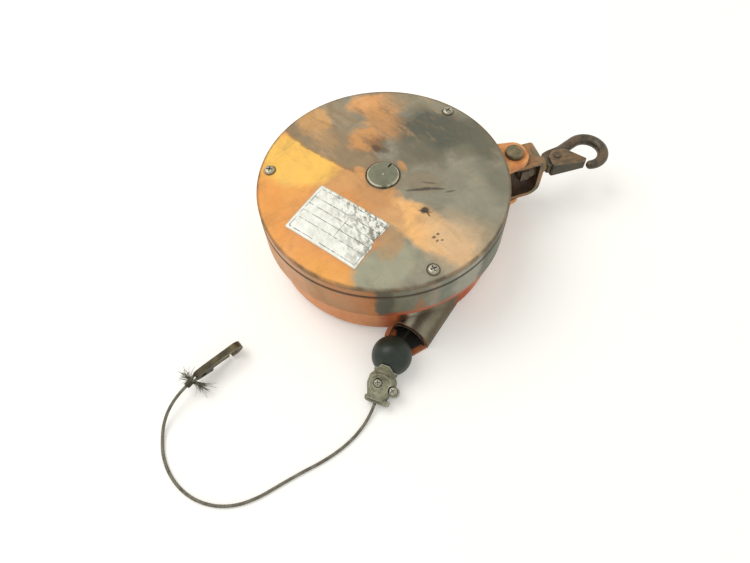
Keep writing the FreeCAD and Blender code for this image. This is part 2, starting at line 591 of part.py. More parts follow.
def hook():
    """Swivel snap hook: shank, collar, heel for the gate, straight back, bow and tapered nose."""
    bow_start = bow_point(90 + BACK_SLOPE)
    reach = bow_start.y / math.sin(math.radians(BACK_SLOPE))
    back_start = bow_start - Vector(math.cos(math.radians(BACK_SLOPE)), math.sin(math.radians(BACK_SLOPE)), 0) * reach
    back = rod(BAR_R, tuple(back_start), tuple(bow_start))
    taper_from = -45.0
    bow_path = Part.Wire(Part.Arc(bow_start, bow_point(30), bow_point(taper_from)).toShape())
    circle = Part.Wire(Part.makeCircle(BAR_R, bow_start, Vector(math.cos(math.radians(BACK_SLOPE)),
                                                               math.sin(math.radians(BACK_SLOPE)), 0)))
    bow = bow_path.makePipeShell([circle], True, True)
    nose_path = Part.Wire(Part.Arc(bow_point(taper_from), bow_point((taper_from + NOSE_ANGLE) / 2),
                                   bow_point(NOSE_ANGLE)).toShape())

    def across(angle, radius):
        turn = math.radians(angle)
        return Part.Wire(Part.makeCircle(radius, bow_point(angle), Vector(math.sin(turn), -math.cos(turn), 0)))
    nose_r = 3.0
    nose = nose_path.makePipeShell([across(taper_from, BAR_R), across(NOSE_ANGLE, nose_r)], True, True)
    tip = Part.makeSphere(nose_r, bow_point(NOSE_ANGLE))
    heel = slab([(116.4, -5.6, 1.5), (119, -HEEL_R, 2), (GATE_PIVOT[0], -HEEL_R, 0), (131, 4.0, 0), (133, 8.4, 2),
                 (121.5, 7.0, 3), (116.4, 5.4, 1.5)], -HEEL_HALF_T, HEEL_HALF_T)
    heel = heel.fuse(rod(HEEL_R, (*GATE_PIVOT, -HEEL_HALF_T), (*GATE_PIVOT, HEEL_HALF_T)))
    collar = placed(turned([(0, YOKE_END + FIT_GAP, 0), (5.8, YOKE_END + FIT_GAP, 0.3), (5.8, 115.0, 0.8),
                            (4.7, 115.6, 0), (4.7, 117.0, 0), (0, 117.0, 0)]), dip=90)
    shank = rod(SHANK_R, (95.7, 0, 0), (113, 0, 0))
    solid = fused(back, bow, nose, tip, heel, collar, shank)
    solid = solid.cut(rod(RIVET_R, (*GATE_PIVOT, -8), (*GATE_PIVOT, 8)))
    keep("hook", placed(solid, (0, 0, HOOK_Z)))


def swivel_nut():
    """Hexagon nut and two washers that hold the shank in the yoke."""
    corners = [Vector(*polar(6.5 / math.cos(math.radians(30)), 60 * n, 0)) for n in range(7)]
    nut = Part.Face(Part.makePolygon(corners)).extrude(Vector(0, 0, 5.8))
    nut.rotate(Vector(0, 0, 0), Vector(0, 1, 0), 90)
    nut.translate(Vector(96.8, 0, HOOK_Z))
    keep("swivel_nut", nut.cut(rod(SHANK_R, (90, 0, HOOK_Z), (110, 0, HOOK_Z))))
    keep("swivel_washers", tube(6.9, SHANK_R, (102.6, 0, HOOK_Z), (105.2, 0, HOOK_Z)),
         tube(6.2, SHANK_R, (105.2, 0, HOOK_Z), (YOKE_END - YOKE_T - FIT_GAP, 0, HOOK_Z)))


GATE_IN = 4.3            # inner face of the gate's cheeks
GATE_T = 1.0
GATE_SET = 5.5           # slant of the closed gate


def hook_gate():
    """Folded sheet gate: two cheeks and the web that joins them, closed against the nose."""
    plan = [(119.6, -8.5, 1.5), (142.5, -8.5, 1.2), (144.4, -5.8, 1.0), (132.4, 4.5, 1.5), (123.5, 4.8, 3),
            (119.6, 0.5, 3)]
    whole = slab(plan, -GATE_IN - GATE_T, GATE_IN + GATE_T)
    hollow = slab(sharp((110, -7.5), (160, -7.5), (160, 20), (110, 20)), -GATE_IN, GATE_IN)
    bore = rod(RIVET_R + BUSH_GAP, (*GATE_PIVOT, -8), (*GATE_PIVOT, 8))
    leaf = slab([(121, -7.45, 0), (130, -7.45, 2), (140, -6.3, 0), (140, -5.9, 0), (130, -7.05, 2), (121, -7.05, 0)],
                -2.5, 2.5)
    for name, solid in (("hook_gate", cut_by(whole, hollow, bore)), ("gate_spring", leaf)):
        solid.rotate(Vector(*GATE_PIVOT, 0), Vector(0, 0, 1), -GATE_SET)
        keep(name, placed(solid, (0, 0, HOOK_Z)))
    top = GATE_IN + GATE_T + 0.1
    head = turned([(0, top, 0), (2.6, top, 0), (2.6, top + 1.0, 0.6), (0, top + 1.0, 0)])
    rivet = fused(head, placed(head, roll=180), rod(RIVET_R, (0, 0, -top - 0.2), (0, 0, top + 0.2)))
    keep("gate_rivet", placed(rivet, (*GATE_PIVOT, HOOK_Z)))


# ---- rope, ball, clamp and end hook -------------------------------------
CLAMP_HEADING = 230.8
CLAMP_DIP = 15.9
CLAMP_END = 30.7         # distance of the clamp's foot from the ball centre
BALL = line_point(BALL_T, ROPE_Z)


def at_clamp(shape):
    """From the clamp's frame (origin at the ball centre, X along the clamp) to the part."""
    return placed(shape, BALL, heading=CLAMP_HEADING, dip=CLAMP_DIP)


def clamp_point(along):
    heading, dip = math.radians(CLAMP_HEADING), math.radians(CLAMP_DIP)
    level = along * math.cos(dip)
    return (BALL[0] + level * math.cos(heading), BALL[1] + level * math.sin(heading), BALL[2] - along * math.sin(dip))


def rope_lead():
    """Taut rope from the drum to the ball, and on through the clamp."""
    before = rod(ROPE_R, line_point(0.3, ROPE_Z), BALL)
    after = rod(ROPE_R, BALL, clamp_point(CLAMP_END))
    keep("rope_lead", fused(before, Part.makeSphere(ROPE_R, Vector(*BALL)), after))


def stop_ball():
    ball = Part.makeSphere(BALL_R, Vector(*BALL))
    bores = (rod(ROPE_R, line_point(BALL_T - 20, ROPE_Z), BALL), rod(ROPE_R, BALL, clamp_point(20)),
             Part.makeSphere(ROPE_R, Vector(*BALL)))
    keep("stop_ball", cut_by(ball, *bores))


CLAMP_PROFILE = [        # radius, distance from the ball centre, rounding
    (0, 8.6, 0), (7.5, 8.6, 0.4), (7.5, 11.2, 0.5), (6.8, 12.0, 0.6), (8.9, 14.8, 3), (8.9, 20.5, 5),
    (6.4, 26.8, 2), (6.4, 29.0, 0), (0, 29.0, 0)]
CLAMP_HALF_H = 6.2
CLAMP_SCREWS = ((19.0, -1.4, 5.2, 20.0), (20.6, 8.5, 3.4, 50.0))   # along, across, seat height, slot angle
CLAMP_BOSS_R = 3.4       # boss of the outer screw


def clamp():
    """Die-cast rope clamp in two halves: cup for the ball, swelling body and a foot with ears."""
    body = placed(turned(CLAMP_PROFILE), dip=90)
    body = body.common(side_slab([(8, -8, 0), (14, -8, 3), (17, -CLAMP_HALF_H, 4), (29, -4.2, 0),
                                  (29, CLAMP_HALF_H, 0), (17, CLAMP_HALF_H, 4), (14, 8, 3), (8, 8, 0)], 12))
    foot = side_slab([(27.2, -3.4, 0.6), (CLAMP_END, -3.4, 0.6), (CLAMP_END, 3.4, 0.6), (27.2, 3.4, 0.6)], 8.3)
    foot = foot.common(slab([(26, -6.9, 2), (CLAMP_END, -6.9, 2), (CLAMP_END, 8.3, 2), (26, 8.3, 2)], -5, 5))
    boss = rod(CLAMP_BOSS_R, (*CLAMP_SCREWS[1][:2], -4.6), CLAMP_SCREWS[1][:3])
    lip = Part.makeSphere(BALL_R + 0.9).common(
        slab([(7.9, -2.4, 1.8), (7.9, 2.8, 1.8), (11.2, 6.4, 0), (11.2, -5.4, 0)], 3, 14))
    body = fused(body, foot, boss, lip)
    bores = [Part.makeSphere(BALL_R, Vector(0, 0, 0)), rod(ROPE_R, (0, 0, 0), (40, 0, 0))]
    screws = []
    for along, across, seat, slot in CLAMP_SCREWS:
        bores.append(rod(3.0, (along, across, seat), (along, across, 12)))
        bores.append(rod(1.6, (along, across, -3), (along, across, 12)))
        length = seat - ROPE_R - 0.1 if abs(across) < ROPE_R + 1.6 else seat + 3
        screws.append(at_clamp(placed(pan_screw(2.7, 2.0, 1.6, length), (along, across, seat), heading=slot)))
    body = cut_by(body, *bores)
    keep("clamp_upper", at_clamp(body.common(block((0, -14, 0.15), (40, 14, 12)))))
    keep("clamp_lower", at_clamp(body.common(block((0, -14, -12), (40, 14, -0.15)))))
    keep("clamp_screws", *screws)


SNAP_HEADING = 24.0
SNAP_DIP = 3.4
SNAP_LEAN = 14.0
LOOP_HEADING = 33.0
EYE_CENTRE = (-144.3, -67.3, 9.0)   # centre of the rope's end loop
LOOP_R = 4.2
FERRULE_R = 2.1


def at_snap(shape):
    """From the end hook's frame (X along it, Z across it, origin at the rope loop) to the part."""
    return placed(shape, EYE_CENTRE, heading=SNAP_HEADING, dip=SNAP_DIP, roll=SNAP_LEAN)


def end_point(along):
    """Point on the rope's straight end, measured from the centre of its loop."""
    turn = math.radians(LOOP_HEADING)
    return (EYE_CENTRE[0] + along * math.cos(turn), EYE_CENTRE[1] + along * math.sin(turn), EYE_CENTRE[2])


FERRULE_START = -LOOP_R - 4.2
ROPE_ROUTE = [
    clamp_point(CLAMP_END), clamp_point(CLAMP_END + 7.0), (-58.2, -129.6, 1.2), (-69.4, -135.6, 1.05),
    (-83.4, -139.9, 1.05), (-97.6, -142.2, 1.05), (-110.9, -145.0, 1.05), (-123.4, -147.9, 1.05),
    (-135.0, -148.5, 1.05), (-145.0, -146.4, 1.05), (-153.8, -142.0, 1.05), (-161.4, -135.6, 1.05),
    (-167.4, -127.2, 1.05), (-171.3, -117.6, 1.05), (-173.0, -107.4, 1.05), (-172.2, -98.4, 1.3),
    (-169.8, -89.6, 3.1), (-164.6, -82.2, 6.6), end_point(FERRULE_START - 6.4), end_point(FERRULE_START)]


def corner_arcs(route):
    """Straight runs of a route joined by tangent arcs; returns the path and the arc radii."""
    points = [Vector(*p) for p in route]
    edges, radii, last = [], [], points[0]
    for before, here, after in zip(points, points[1:], points[2:]):
        back, ahead = before - here, after - here
        turn = math.pi - back.getAngle(ahead)
        reach = 0.45 * min(back.Length, ahead.Length)
        radius = reach / math.tan(turn / 2)
        back.normalize()
        ahead.normalize()
        start, end = here + back * reach, here + ahead * reach
        inward = (back + ahead).normalize()
        middle = here + inward * (radius / math.cos(turn / 2) - radius)
        edges.append(Part.LineSegment(last, start).toShape())
        edges.append(Part.Arc(start, middle, end).toShape())
        radii.append(radius)
        last = end
    edges.append(Part.LineSegment(last, points[-1]).toShape())
    return Part.Wire(edges), radii


def wire_rope():
    path, radii = corner_arcs(ROPE_ROUTE)
    first = path.Edges[0]
    ring = Part.Wire(Part.makeCircle(ROPE_R, first.valueAt(first.FirstParameter), first.tangentAt(first.FirstParameter)))
    solid = path.makePipeShell([ring], True, True)
    print("rope length", round(path.Length, 1), "radii", [round(r) for r in radii])
    print("rope volume over section x length", round(solid.Volume / (math.pi * ROPE_R ** 2 * path.Length), 4))
    keep("wire_rope", solid)


def rope_end():
    """Ferrule and the small loop through the end hook's eye."""
    loop = Part.makeTorus(LOOP_R, ROPE_R, Vector(0, 0, 0), Vector(0, 0, 1))
    ferrule = rod(FERRULE_R, (FERRULE_START, 0, 0), (-LOOP_R, 0, 0)).cut(loop)
    keep("rope_loop", placed(loop, EYE_CENTRE, heading=LOOP_HEADING))
    keep("rope_ferrule", placed(ferrule, EYE_CENTRE, heading=LOOP_HEADING))


SNAP_HALF_T = 2.1        # half thickness of the end hook's flat bar
SNAP_END = 33.0
SNAP_HALF_W = 6.4
SNAP_PIVOT = (9.2, -3.2)


def end_hook():
    """Small flat snap hook, drawn in XZ of its own frame: eye, spine above, gate below."""
    outer = [(-0.9, -3.5, 3.3), (6, -4.9, 6), (SNAP_END, -SNAP_HALF_W, 5.6),
             (SNAP_END, SNAP_HALF_W, 5.6), (6, 4.9, 6), (-0.9, 3.5, 3.3)]
    inner = [(11.2, -2.2, 1.2), (SNAP_END - 3.8, -3.6, 3.0), (SNAP_END - 3.8, 3.6, 3.0), (11.2, 2.2, 1.2)]
    body = side_slab(outer, SNAP_HALF_T)
    eye = rod(2.2, (4.0, -9, 0), (4.0, 9, 0))
    gate_gap = side_slab(sharp((10.7, -12), (10.7, -1.5), (24.4, -1.5), (26.0, -12)), 5)
    hinge_slot = side_slab(sharp((6.8, -12), (6.8, -0.7), (12.8, -0.7), (12.8, -12)), 1.15)
    rivet_hole = rod(0.9, (SNAP_PIVOT[0], -9, SNAP_PIVOT[1]), (SNAP_PIVOT[0], 9, SNAP_PIVOT[1]))
    keep("end_hook", at_snap(cut_by(body, side_slab(inner, 5), eye, gate_gap, hinge_slot, rivet_hole)))
    pivot = SNAP_PIVOT
    gate = side_slab([(pivot[0] - 1.7, -4.7, 1.4), (24.0, -5.6, 0.6), (23.3, -3.0, 0.6), (pivot[0] + 1.8, -1.7, 0.9),
                      (pivot[0] - 1.7, -1.7, 1.4)], 1.0)
    bore = rod(0.9 + BUSH_GAP, (pivot[0], -9, pivot[1]), (pivot[0], 9, pivot[1]))
    keep("end_hook_gate", at_snap(gate.cut(bore)))
    rivet = rod(0.9, (pivot[0], -SNAP_HALF_T - 0.3, pivot[1]), (pivot[0], SNAP_HALF_T + 0.3, pivot[1]))
    keep("end_hook_rivet", at_snap(rivet))


def write_all():
    os.makedirs("parts", exist_ok=True)
    for name, shape in PARTS.items():
        if not shape.isValid():
            print("invalid", name)
        shape.exportStep(os.path.join("parts", name + ".step"))
    print(len(PARTS), "nodes,", sum(len(shape.Solids) for shape in PARTS.values()), "solids")


for make in (housing, guide_liner, gasket, cover, cover_screws, label_plate, cover_bush, spring_shaft, worm_wheel,
             worm_shaft, base_bush, rope_drum, drum_bushes, rope_turns, mainspring, spring_cover, suspension_pin,
             yoke, hook, swivel_nut, hook_gate, rope_lead, stop_ball, clamp, wire_rope, rope_end, end_hook):
    make()
write_all()
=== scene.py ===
import math
import random

import bpy
from mathutils import Matrix, Vector


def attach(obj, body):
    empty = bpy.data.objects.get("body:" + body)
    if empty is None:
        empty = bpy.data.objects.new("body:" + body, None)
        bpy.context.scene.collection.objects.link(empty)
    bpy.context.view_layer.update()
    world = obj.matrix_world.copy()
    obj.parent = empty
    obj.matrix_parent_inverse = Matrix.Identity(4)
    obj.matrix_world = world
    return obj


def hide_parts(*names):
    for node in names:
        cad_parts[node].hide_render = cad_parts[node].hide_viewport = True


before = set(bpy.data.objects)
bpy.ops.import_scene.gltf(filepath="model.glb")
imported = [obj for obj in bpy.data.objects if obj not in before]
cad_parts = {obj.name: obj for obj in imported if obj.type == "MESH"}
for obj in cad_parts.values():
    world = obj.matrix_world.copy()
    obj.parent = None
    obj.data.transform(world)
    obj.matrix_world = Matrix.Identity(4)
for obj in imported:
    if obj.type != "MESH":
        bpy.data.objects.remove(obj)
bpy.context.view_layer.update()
MM = 0.001

# ---- places that finishes and rope share, in millimetres ----------------
PULL = math.radians(218.75)          # heading of the rope in its guide
ALONG = Vector((math.cos(PULL), math.sin(PULL), 0))
OUTWARD = Vector((-ALONG.y, ALONG.x, 0))
PIN_X = 91.0                         # the rope's line goes through the suspension pin's axis
FOOT = OUTWARD * PIN_X * math.sin(math.radians(38.75))   # where the rope leaves the drum
HOOD_ROOT, MOUTH = 20.0, 58.0        # start and end of the guide's hood, from the foot along the rope
HOOD_TOP = 28.0
BORE_HALF, BORE_TOP = 11.3, 15.4     # half width and height of the guide's arched bore
BORE_SHADE_END = 72.0                      # how far the bore's floor is painted black as shade in its middle
EYE = Vector((-144.3, -67.3, 9.0))   # middle of the end hook's eye
LOOP_HEADING = math.radians(33.0)
END_LINE = Vector((math.cos(LOOP_HEADING), math.sin(LOOP_HEADING), 0))
LEG_LOW, LEG_HIGH = 18.7, 46.3       # heights between which the yoke is open
BOW_INSIDE, YOKE_HALF = 108.4, 9.25  # how far out that opening goes, and its half width
COLLAR_FROM, COLLAR_TO = 110.6, 116.6

# ---- camera -------------------------------------------------------------
CAMERA_PLACE = (-0.0721, -0.2355, 0.3542)
CAMERA_ROLL = math.radians(-3.25)
camera = bpy.data.objects.new("camera", bpy.data.cameras.new("camera"))
bpy.context.scene.collection.objects.link(camera)
camera.data.lens = 28.8
camera.data.sensor_width = 36.0
forward = Vector((0.1317, 0.4917, -0.8607)).normalized()
level = Vector((0.9659, -0.2588, 0.0))
upright = level.cross(forward)
right = level * math.cos(CAMERA_ROLL) + upright * math.sin(CAMERA_ROLL)
up = upright * math.cos(CAMERA_ROLL) - level * math.sin(CAMERA_ROLL)
turn_to_view = Matrix((right, up, -forward)).transposed().to_4x4()
camera.matrix_world = Matrix.Translation(CAMERA_PLACE) @ turn_to_view
camera.data.clip_start = 0.01
bpy.context.scene.camera = camera


# ---- shader shorthand ---------------------------------------------------
def tint(red, green, blue):
    """Linear colour from the everyday 0 to 255 values."""
    parts = [c / 255 for c in (red, green, blue)]
    return tuple(c / 12.92 if c <= 0.04045 else ((c + 0.055) / 1.055) ** 2.4 for c in parts) + (1.0,)


class Net:
    """Shorthand for wiring one node tree."""

    def __init__(self, tree):
        self.tree = tree

    def wire(self, node, inputs):
        """Links sockets to a node's inputs and sets the other values."""
        for name, value in inputs.items():
            if isinstance(value, bpy.types.NodeSocket):
                self.tree.links.new(value, node.inputs[name])
            else:
                node.inputs[name].default_value = value
        return node

    def put(self, kind, inputs=None, **settings):
        node = self.tree.nodes.new("ShaderNode" + kind)
        for name, value in settings.items():
            setattr(node, name, value)
        return self.wire(node, inputs or {})

    def calc(self, operation, *values, clamp=False):
        node = self.put("Math", dict(enumerate(values)), operation=operation, use_clamp=clamp)
        return node.outputs[0]

    def chain(self, operation, values, clamp):
        total = values[0]
        for value in values[1:-1]:
            total = self.calc(operation, total, value)
        return self.calc(operation, total, values[-1], clamp=clamp)

    def times(self, *values, clamp=False):
        return self.chain("MULTIPLY", values, clamp)

    def plus(self, *values):
        return self.chain("ADD", values, False)

    def minus(self, first, second):
        return self.calc("SUBTRACT", first, second)

    def vector(self, operation, *values):
        return self.put("VectorMath", dict(enumerate(values)), operation=operation).outputs[0]

    def dot(self, place, direction):
        node = self.put("VectorMath", {0: place, 1: direction}, operation="DOT_PRODUCT")
        return node.outputs["Value"]

    def length(self, place):
        return self.put("VectorMath", {0: place}, operation="LENGTH").outputs["Value"]

    def radius(self, place):
        """Length of the plan part, such as the distance from the spring shaft's axis."""
        return self.length(self.vector("MULTIPLY", place, (1, 1, 0)))

    def xyz(self, place):
        return self.put("SeparateXYZ", {0: place}).outputs

    def turned(self, place, angle, back=False):
        return self.put("VectorRotate", {"Vector": place, "Angle": angle}, rotation_type="Z_AXIS",
                        invert=back).outputs[0]

    def blend(self, factor, first, second):
        """First where the factor is 0, second where it is 1; a tone may be 0 to 255 values."""
        tones = [tint(*tone) if isinstance(tone, tuple) else tone for tone in (first, second)]
        return self.put("Mix", {0: factor, 6: tones[0], 7: tones[1]}, data_type="RGBA").outputs[2]

    def lay(self, color, mask, tone, strength=None):
        """The colour with a tone laid over it where the mask is 1."""
        return self.blend(mask if strength is None else self.times(mask, strength), color, tone)

    def between(self, value, low, high, first, second):
        """Blend of two tones while the value goes from low to high."""
        return self.blend(self.remap(value, low, high), first, second)

    def remap(self, value, low, high, start=0.0, end=1.0):
        node = self.put("MapRange", {"Value": value, "From Min": low, "From Max": high,
                                     "To Min": start, "To Max": end})
        return node.outputs[0]

    def noise(self, place, scale, detail=4.0, rough=0.55, warp=0.0):
        node = self.put("TexNoise", {"Vector": place, "Scale": scale, "Detail": detail,
                                     "Roughness": rough, "Distortion": warp})
        return node.outputs[0]

    def stretched(self, place, factors):
        return self.vector("MULTIPLY", place, factors)

    def use(self, name, inputs):
        node = self.tree.nodes.new("ShaderNodeGroup")
        node.node_tree = bpy.data.node_groups[name]
        return self.wire(node, inputs)


def group(name, inputs, outputs):
    """Empty node group with its sockets; returns the net, its input sockets and the output node."""
    tree = bpy.data.node_groups.new(name, "ShaderNodeTree")
    kinds = {"float": "NodeSocketFloat", "vector": "NodeSocketVector", "color": "NodeSocketColor"}
    for label, kind, *default in inputs:
        socket = tree.interface.new_socket(label, in_out="INPUT", socket_type=kinds[kind])
        if default:
            socket.default_value = default[0]
    for label, kind in outputs:
        tree.interface.new_socket(label, in_out="OUTPUT", socket_type=kinds[kind])
    source = tree.nodes.new("NodeGroupInput")
    sink = tree.nodes.new("NodeGroupOutput")
    return Net(tree), source.outputs, sink


def close(net, sink, **sockets):
    """Links the results of a group to its outputs."""
    for label, socket in sockets.items():
        net.tree.links.new(socket, sink.inputs[label])


# ---- effects that several finishes share --------------------------------
def make_patch():
    """Soft oval mask with a ragged edge, drawn on the plan."""
    net, given, sink = group("patch", [("Place", "vector"), ("Centre", "vector"), ("Size", "vector"),
                                       ("Turn", "float"), ("Ragged", "float", 0.35), ("Soft", "float", 0.12)],
                             [("Mask", "float")])
    local = net.vector("SUBTRACT", given["Place"], given["Centre"])
    turned = net.turned(local, given["Turn"], back=True)
    reach = net.radius(net.vector("DIVIDE", turned, given["Size"]))
    coarse = net.noise(given["Place"], 55.0, 6.0, 0.62)
    fine = net.noise(given["Place"], 260.0, 4.0, 0.6)
    ragged = net.plus(net.times(coarse, 1.5), net.times(fine, 0.5))
    ragged = net.times(net.minus(ragged, 1.0), net.times(given["Ragged"], 2.0))
    inner, outer = net.minus(1.0, given["Soft"]), net.plus(1.0, given["Soft"])
    close(net, sink, Mask=net.remap(net.plus(reach, ragged), inner, outer, 1.0, 0.0))


def make_wear_and_highlight():
    """Edges where the surface turns sharply, broken up by noise: rubbed bare, and where the metals lay them
    bright also a painted highlight.
    """
    net, given, sink = group("edge_wear_and_highlight", [("Place", "vector"), ("Width", "float", 0.0008),
                                           ("Amount", "float", 0.5)], [("Mask", "float"), ("Soft", "float")])
    rounded = net.put("Bevel", {"Radius": given["Width"]}, samples=4).outputs[0]
    edge = net.minus(1.0, net.dot(rounded, net.put("NewGeometry").outputs["Normal"]))
    spots = net.noise(given["Place"], 420.0, 5.0, 0.65)
    broken = net.plus(net.times(edge, 3.0), net.times(net.minus(spots, 0.55), 0.9))
    limit = net.minus(0.62, net.times(given["Amount"], 0.5))
    close(net, sink, Mask=net.remap(broken, limit, net.plus(limit, 0.12)), Soft=net.remap(edge, 0.02, 0.3))


def make_grime_and_shade():
    """Soiling and painted shade in corners, found by ambient occlusion, and soiling in broad clouds."""
    net, given, sink = group("grime_and_shade", [("Place", "vector"), ("Reach", "float", 0.004),
                                       ("Amount", "float", 0.5)], [("Mask", "float"), ("Cloud", "float")])
    # corners that ambient occlusion finds are darkened, as soiling and as painted shade
    open_sky = net.put("AmbientOcclusion", {"Distance": given["Reach"]}, samples=4).outputs["AO"]
    corner = net.remap(open_sky, 0.35, 0.95, 1.0, 0.0)
    cloud = net.noise(given["Place"], 38.0, 7.0, 0.6)
    fleck = net.noise(given["Place"], 700.0, 3.0, 0.6)
    broad = net.remap(net.plus(net.times(cloud, 0.75), net.times(fleck, 0.25)), 0.5, 0.68)
    dirt_and_shade = net.plus(corner, net.times(broad, 0.45))
    close(net, sink, Mask=net.times(dirt_and_shade, given["Amount"], clamp=True), Cloud=cloud)


def make_grain():
    """Fine tone and height of a handled, slightly orange-peel surface."""
    net, given, sink = group("grain", [("Place", "vector"), ("Fineness", "float", 1.0)],
                             [("Tone", "float"), ("Height", "float"), ("Speck", "float")])
    place = net.put("VectorMath", {0: given["Place"], 3: given["Fineness"]}, operation="SCALE").outputs[0]
    tone = net.noise(place, 120.0, 6.0, 0.6)
    peel = net.noise(place, 900.0, 3.0, 0.5)
    dimple = net.put("TexVoronoi", {"Vector": place, "Scale": 520.0}).outputs["Distance"]
    speck = net.remap(net.noise(place, 1500.0, 2.0, 0.7), 0.66, 0.74)
    height = net.plus(net.times(peel, 0.7), net.times(dimple, 0.3))
    close(net, sink, Tone=tone, Height=height, Speck=speck)


def make_scratches():
    """Sparse fine scratches in three directions."""
    net, given, sink = group("scratches", [("Place", "vector"), ("Amount", "float", 0.5)],
                             [("Mask", "float")])
    total = None
    for turn, scale in ((0.4, 1.0), (1.7, 1.25), (2.6, 0.8)):
        turned = net.turned(given["Place"], turn)
        thin = net.noise(net.stretched(turned, (60.0 * scale, 2600.0 * scale, 300.0)), 1.0, 2.0, 0.5)
        where = net.noise(turned, 70.0 * scale, 2.0, 0.5)
        line = net.times(net.remap(thin, 0.70, 0.74), net.remap(where, 0.5, 0.62))
        total = line if total is None else net.calc("MAXIMUM", total, line)
    close(net, sink, Mask=net.times(total, given["Amount"], clamp=True))


# Rubbed and painted stretches of the body's side: start and end in degrees round the body,
# how soft they end, colour, strength.
WALL_STRETCHES = [
    (272, 277, 1.5, (166, 150, 130), 0.6),
    (277, 283, 1.5, (128, 136, 120), 0.7),
    (283, 299, 2.0, (170, 167, 150), 0.85),
    (300, 316, 2.0, (90, 97, 80), 0.8),
    (318, 352, 6.0, (150, 146, 128), 0.6),
]
POT_TOP = 31.2           # where the wider band steps in to the pot
SEAM_HEIGHT = 53.7       # middle of the seam under the cover
COVER_EDGE = 61.0        # where the cover's rim turns over


def make_wall():
    """Colours of the body's side: orange towards the rope, rubbed grey beyond it, worn patches behind."""
    net, given, sink = group("side_tones", [("Place", "vector")], [("Color", "color")])
    place = given["Place"]
    x, y, z = net.xyz(place)
    turn = net.calc("MODULO", net.plus(net.times(net.calc("ARCTAN2", y, x), 180 / math.pi), 720.0), 360.0)
    height = net.times(z, 1000.0)
    wobble = net.times(net.minus(net.noise(place, 90.0, 6.0, 0.62), 0.5), 12.0)
    smudge = net.noise(net.stretched(place, (1.0, 1.0, 0.6)), 120.0, 6.0, 0.66, 0.4)
    fine = net.remap(smudge, 0.25, 0.75)
    swept = net.plus(turn, net.times(wobble, 0.8))

    def span(start, end, soft):
        rising = net.remap(swept, start - soft, start + soft)
        falling = net.remap(swept, end - soft, end + soft, 1.0, 0.0)
        return net.times(rising, falling)

    warm = net.between(swept, 205, 246, (214, 164, 120), (178, 110, 50))
    pale = net.between(swept, 205, 246, (206, 142, 88), (192, 124, 66))
    base = net.blend(fine, warm, pale)
    base = net.lay(base, net.remap(net.noise(place, 34.0), 0.5, 0.62), (168, 142, 104), 0.35)
    behind = net.calc("MAXIMUM", net.remap(swept, 184, 172), net.remap(swept, 352, 360))
    rubbed = net.times(net.remap(net.noise(place, 24.0, 7.0, 0.66, 0.3), 0.47, 0.56), behind)
    base = net.lay(base, rubbed, (136, 130, 106), 0.7)
    grey = net.blend(fine, (106, 104, 84), (138, 134, 112))
    color = net.blend(span(249, 420, 0.8), base, grey)
    color = net.lay(color, span(248.5, 256, 1.2), (82, 80, 66), 0.85)
    off_wedge = net.calc("ABSOLUTE", net.minus(net.plus(turn, net.times(wobble, 0.5)), 267.5))
    wedge_half = net.plus(net.remap(height, 50, 35, -0.4, 2.6), net.remap(height, 36, 31, 0.0, 6.0))
    wedge = net.remap(net.minus(off_wedge, wedge_half), -0.8, 1.2, 1.0, 0.0)
    color = net.lay(color, wedge, (164, 104, 60), 0.85)
    for start, end, soft, tone, strength in WALL_STRETCHES:
        color = net.lay(color, span(start, end, soft), tone, strength)
    pot = net.blend(fine, (234, 158, 98), (216, 136, 80))
    pot = net.lay(pot, net.remap(net.noise(place, 44.0, 7.0, 0.68, 0.3), 0.5, 0.62), (172, 112, 70), 0.4)
    color = net.lay(color, net.remap(height, POT_TOP, POT_TOP - 1.4), pot, 0.95)
    red = net.remap(net.plus(height, net.times(wobble, 0.7)), POT_TOP + 5.3, POT_TOP + 0.8)
    color = net.lay(color, net.times(red, span(252, 302, 4.0)), (188, 78, 34), 0.9)
    seam = net.remap(net.calc("ABSOLUTE", net.minus(height, SEAM_HEIGHT)), 0.5, 1.9, 1.0, 0.0)
    color = net.lay(color, seam, (66, 48, 28), 0.75)
    edge = net.times(net.remap(height, COVER_EDGE - 3.0, COVER_EDGE), net.remap(smudge, 0.4, 0.58))
    color = net.lay(color, edge, (122, 96, 60), 0.6)
    close(net, sink, Color=color)


for make in (make_patch, make_wear_and_highlight, make_grime_and_shade, make_grain, make_scratches, make_wall):
    make()


# ---- finishes -----------------------------------------------------------
MATERIALS = {}


def new_material(name):
    """Empty material; returns its net and the place on the whole object."""
    material = bpy.data.materials.new("finish_" + name)
    material.use_nodes = True
    material.node_tree.nodes.clear()
    MATERIALS[name] = material
    net = Net(material.node_tree)
    place = net.put("TexCoord").outputs["Object"]
    return net, place


def finish_off(net, color, rough, height, metal=0.0, strength=0.25, depth=0.0002, specular=0.5):
    """Surface shader and output of one material."""
    bump = net.put("Bump", {"Strength": strength, "Distance": depth, "Height": height}).outputs[0]
    shader = net.put("BsdfPrincipled", {"Base Color": color, "Roughness": rough, "Metallic": metal,
                                        "Normal": bump, "Specular IOR Level": specular})
    out = net.put("OutputMaterial")
    net.tree.links.new(shader.outputs[0], out.inputs[0])


def oval(net, place, centre, size, turn=0.0, ragged=0.35, soft=0.12):
    """Mask of one rubbed or stained area; lengths in millimetres, turn in degrees."""
    return net.use("patch", {"Place": place, "Centre": (centre[0] * MM, centre[1] * MM, 0.0),
                             "Size": (size[0] * MM, size[1] * MM, 1.0), "Turn": math.radians(turn),
                             "Ragged": ragged, "Soft": soft}).outputs[0]


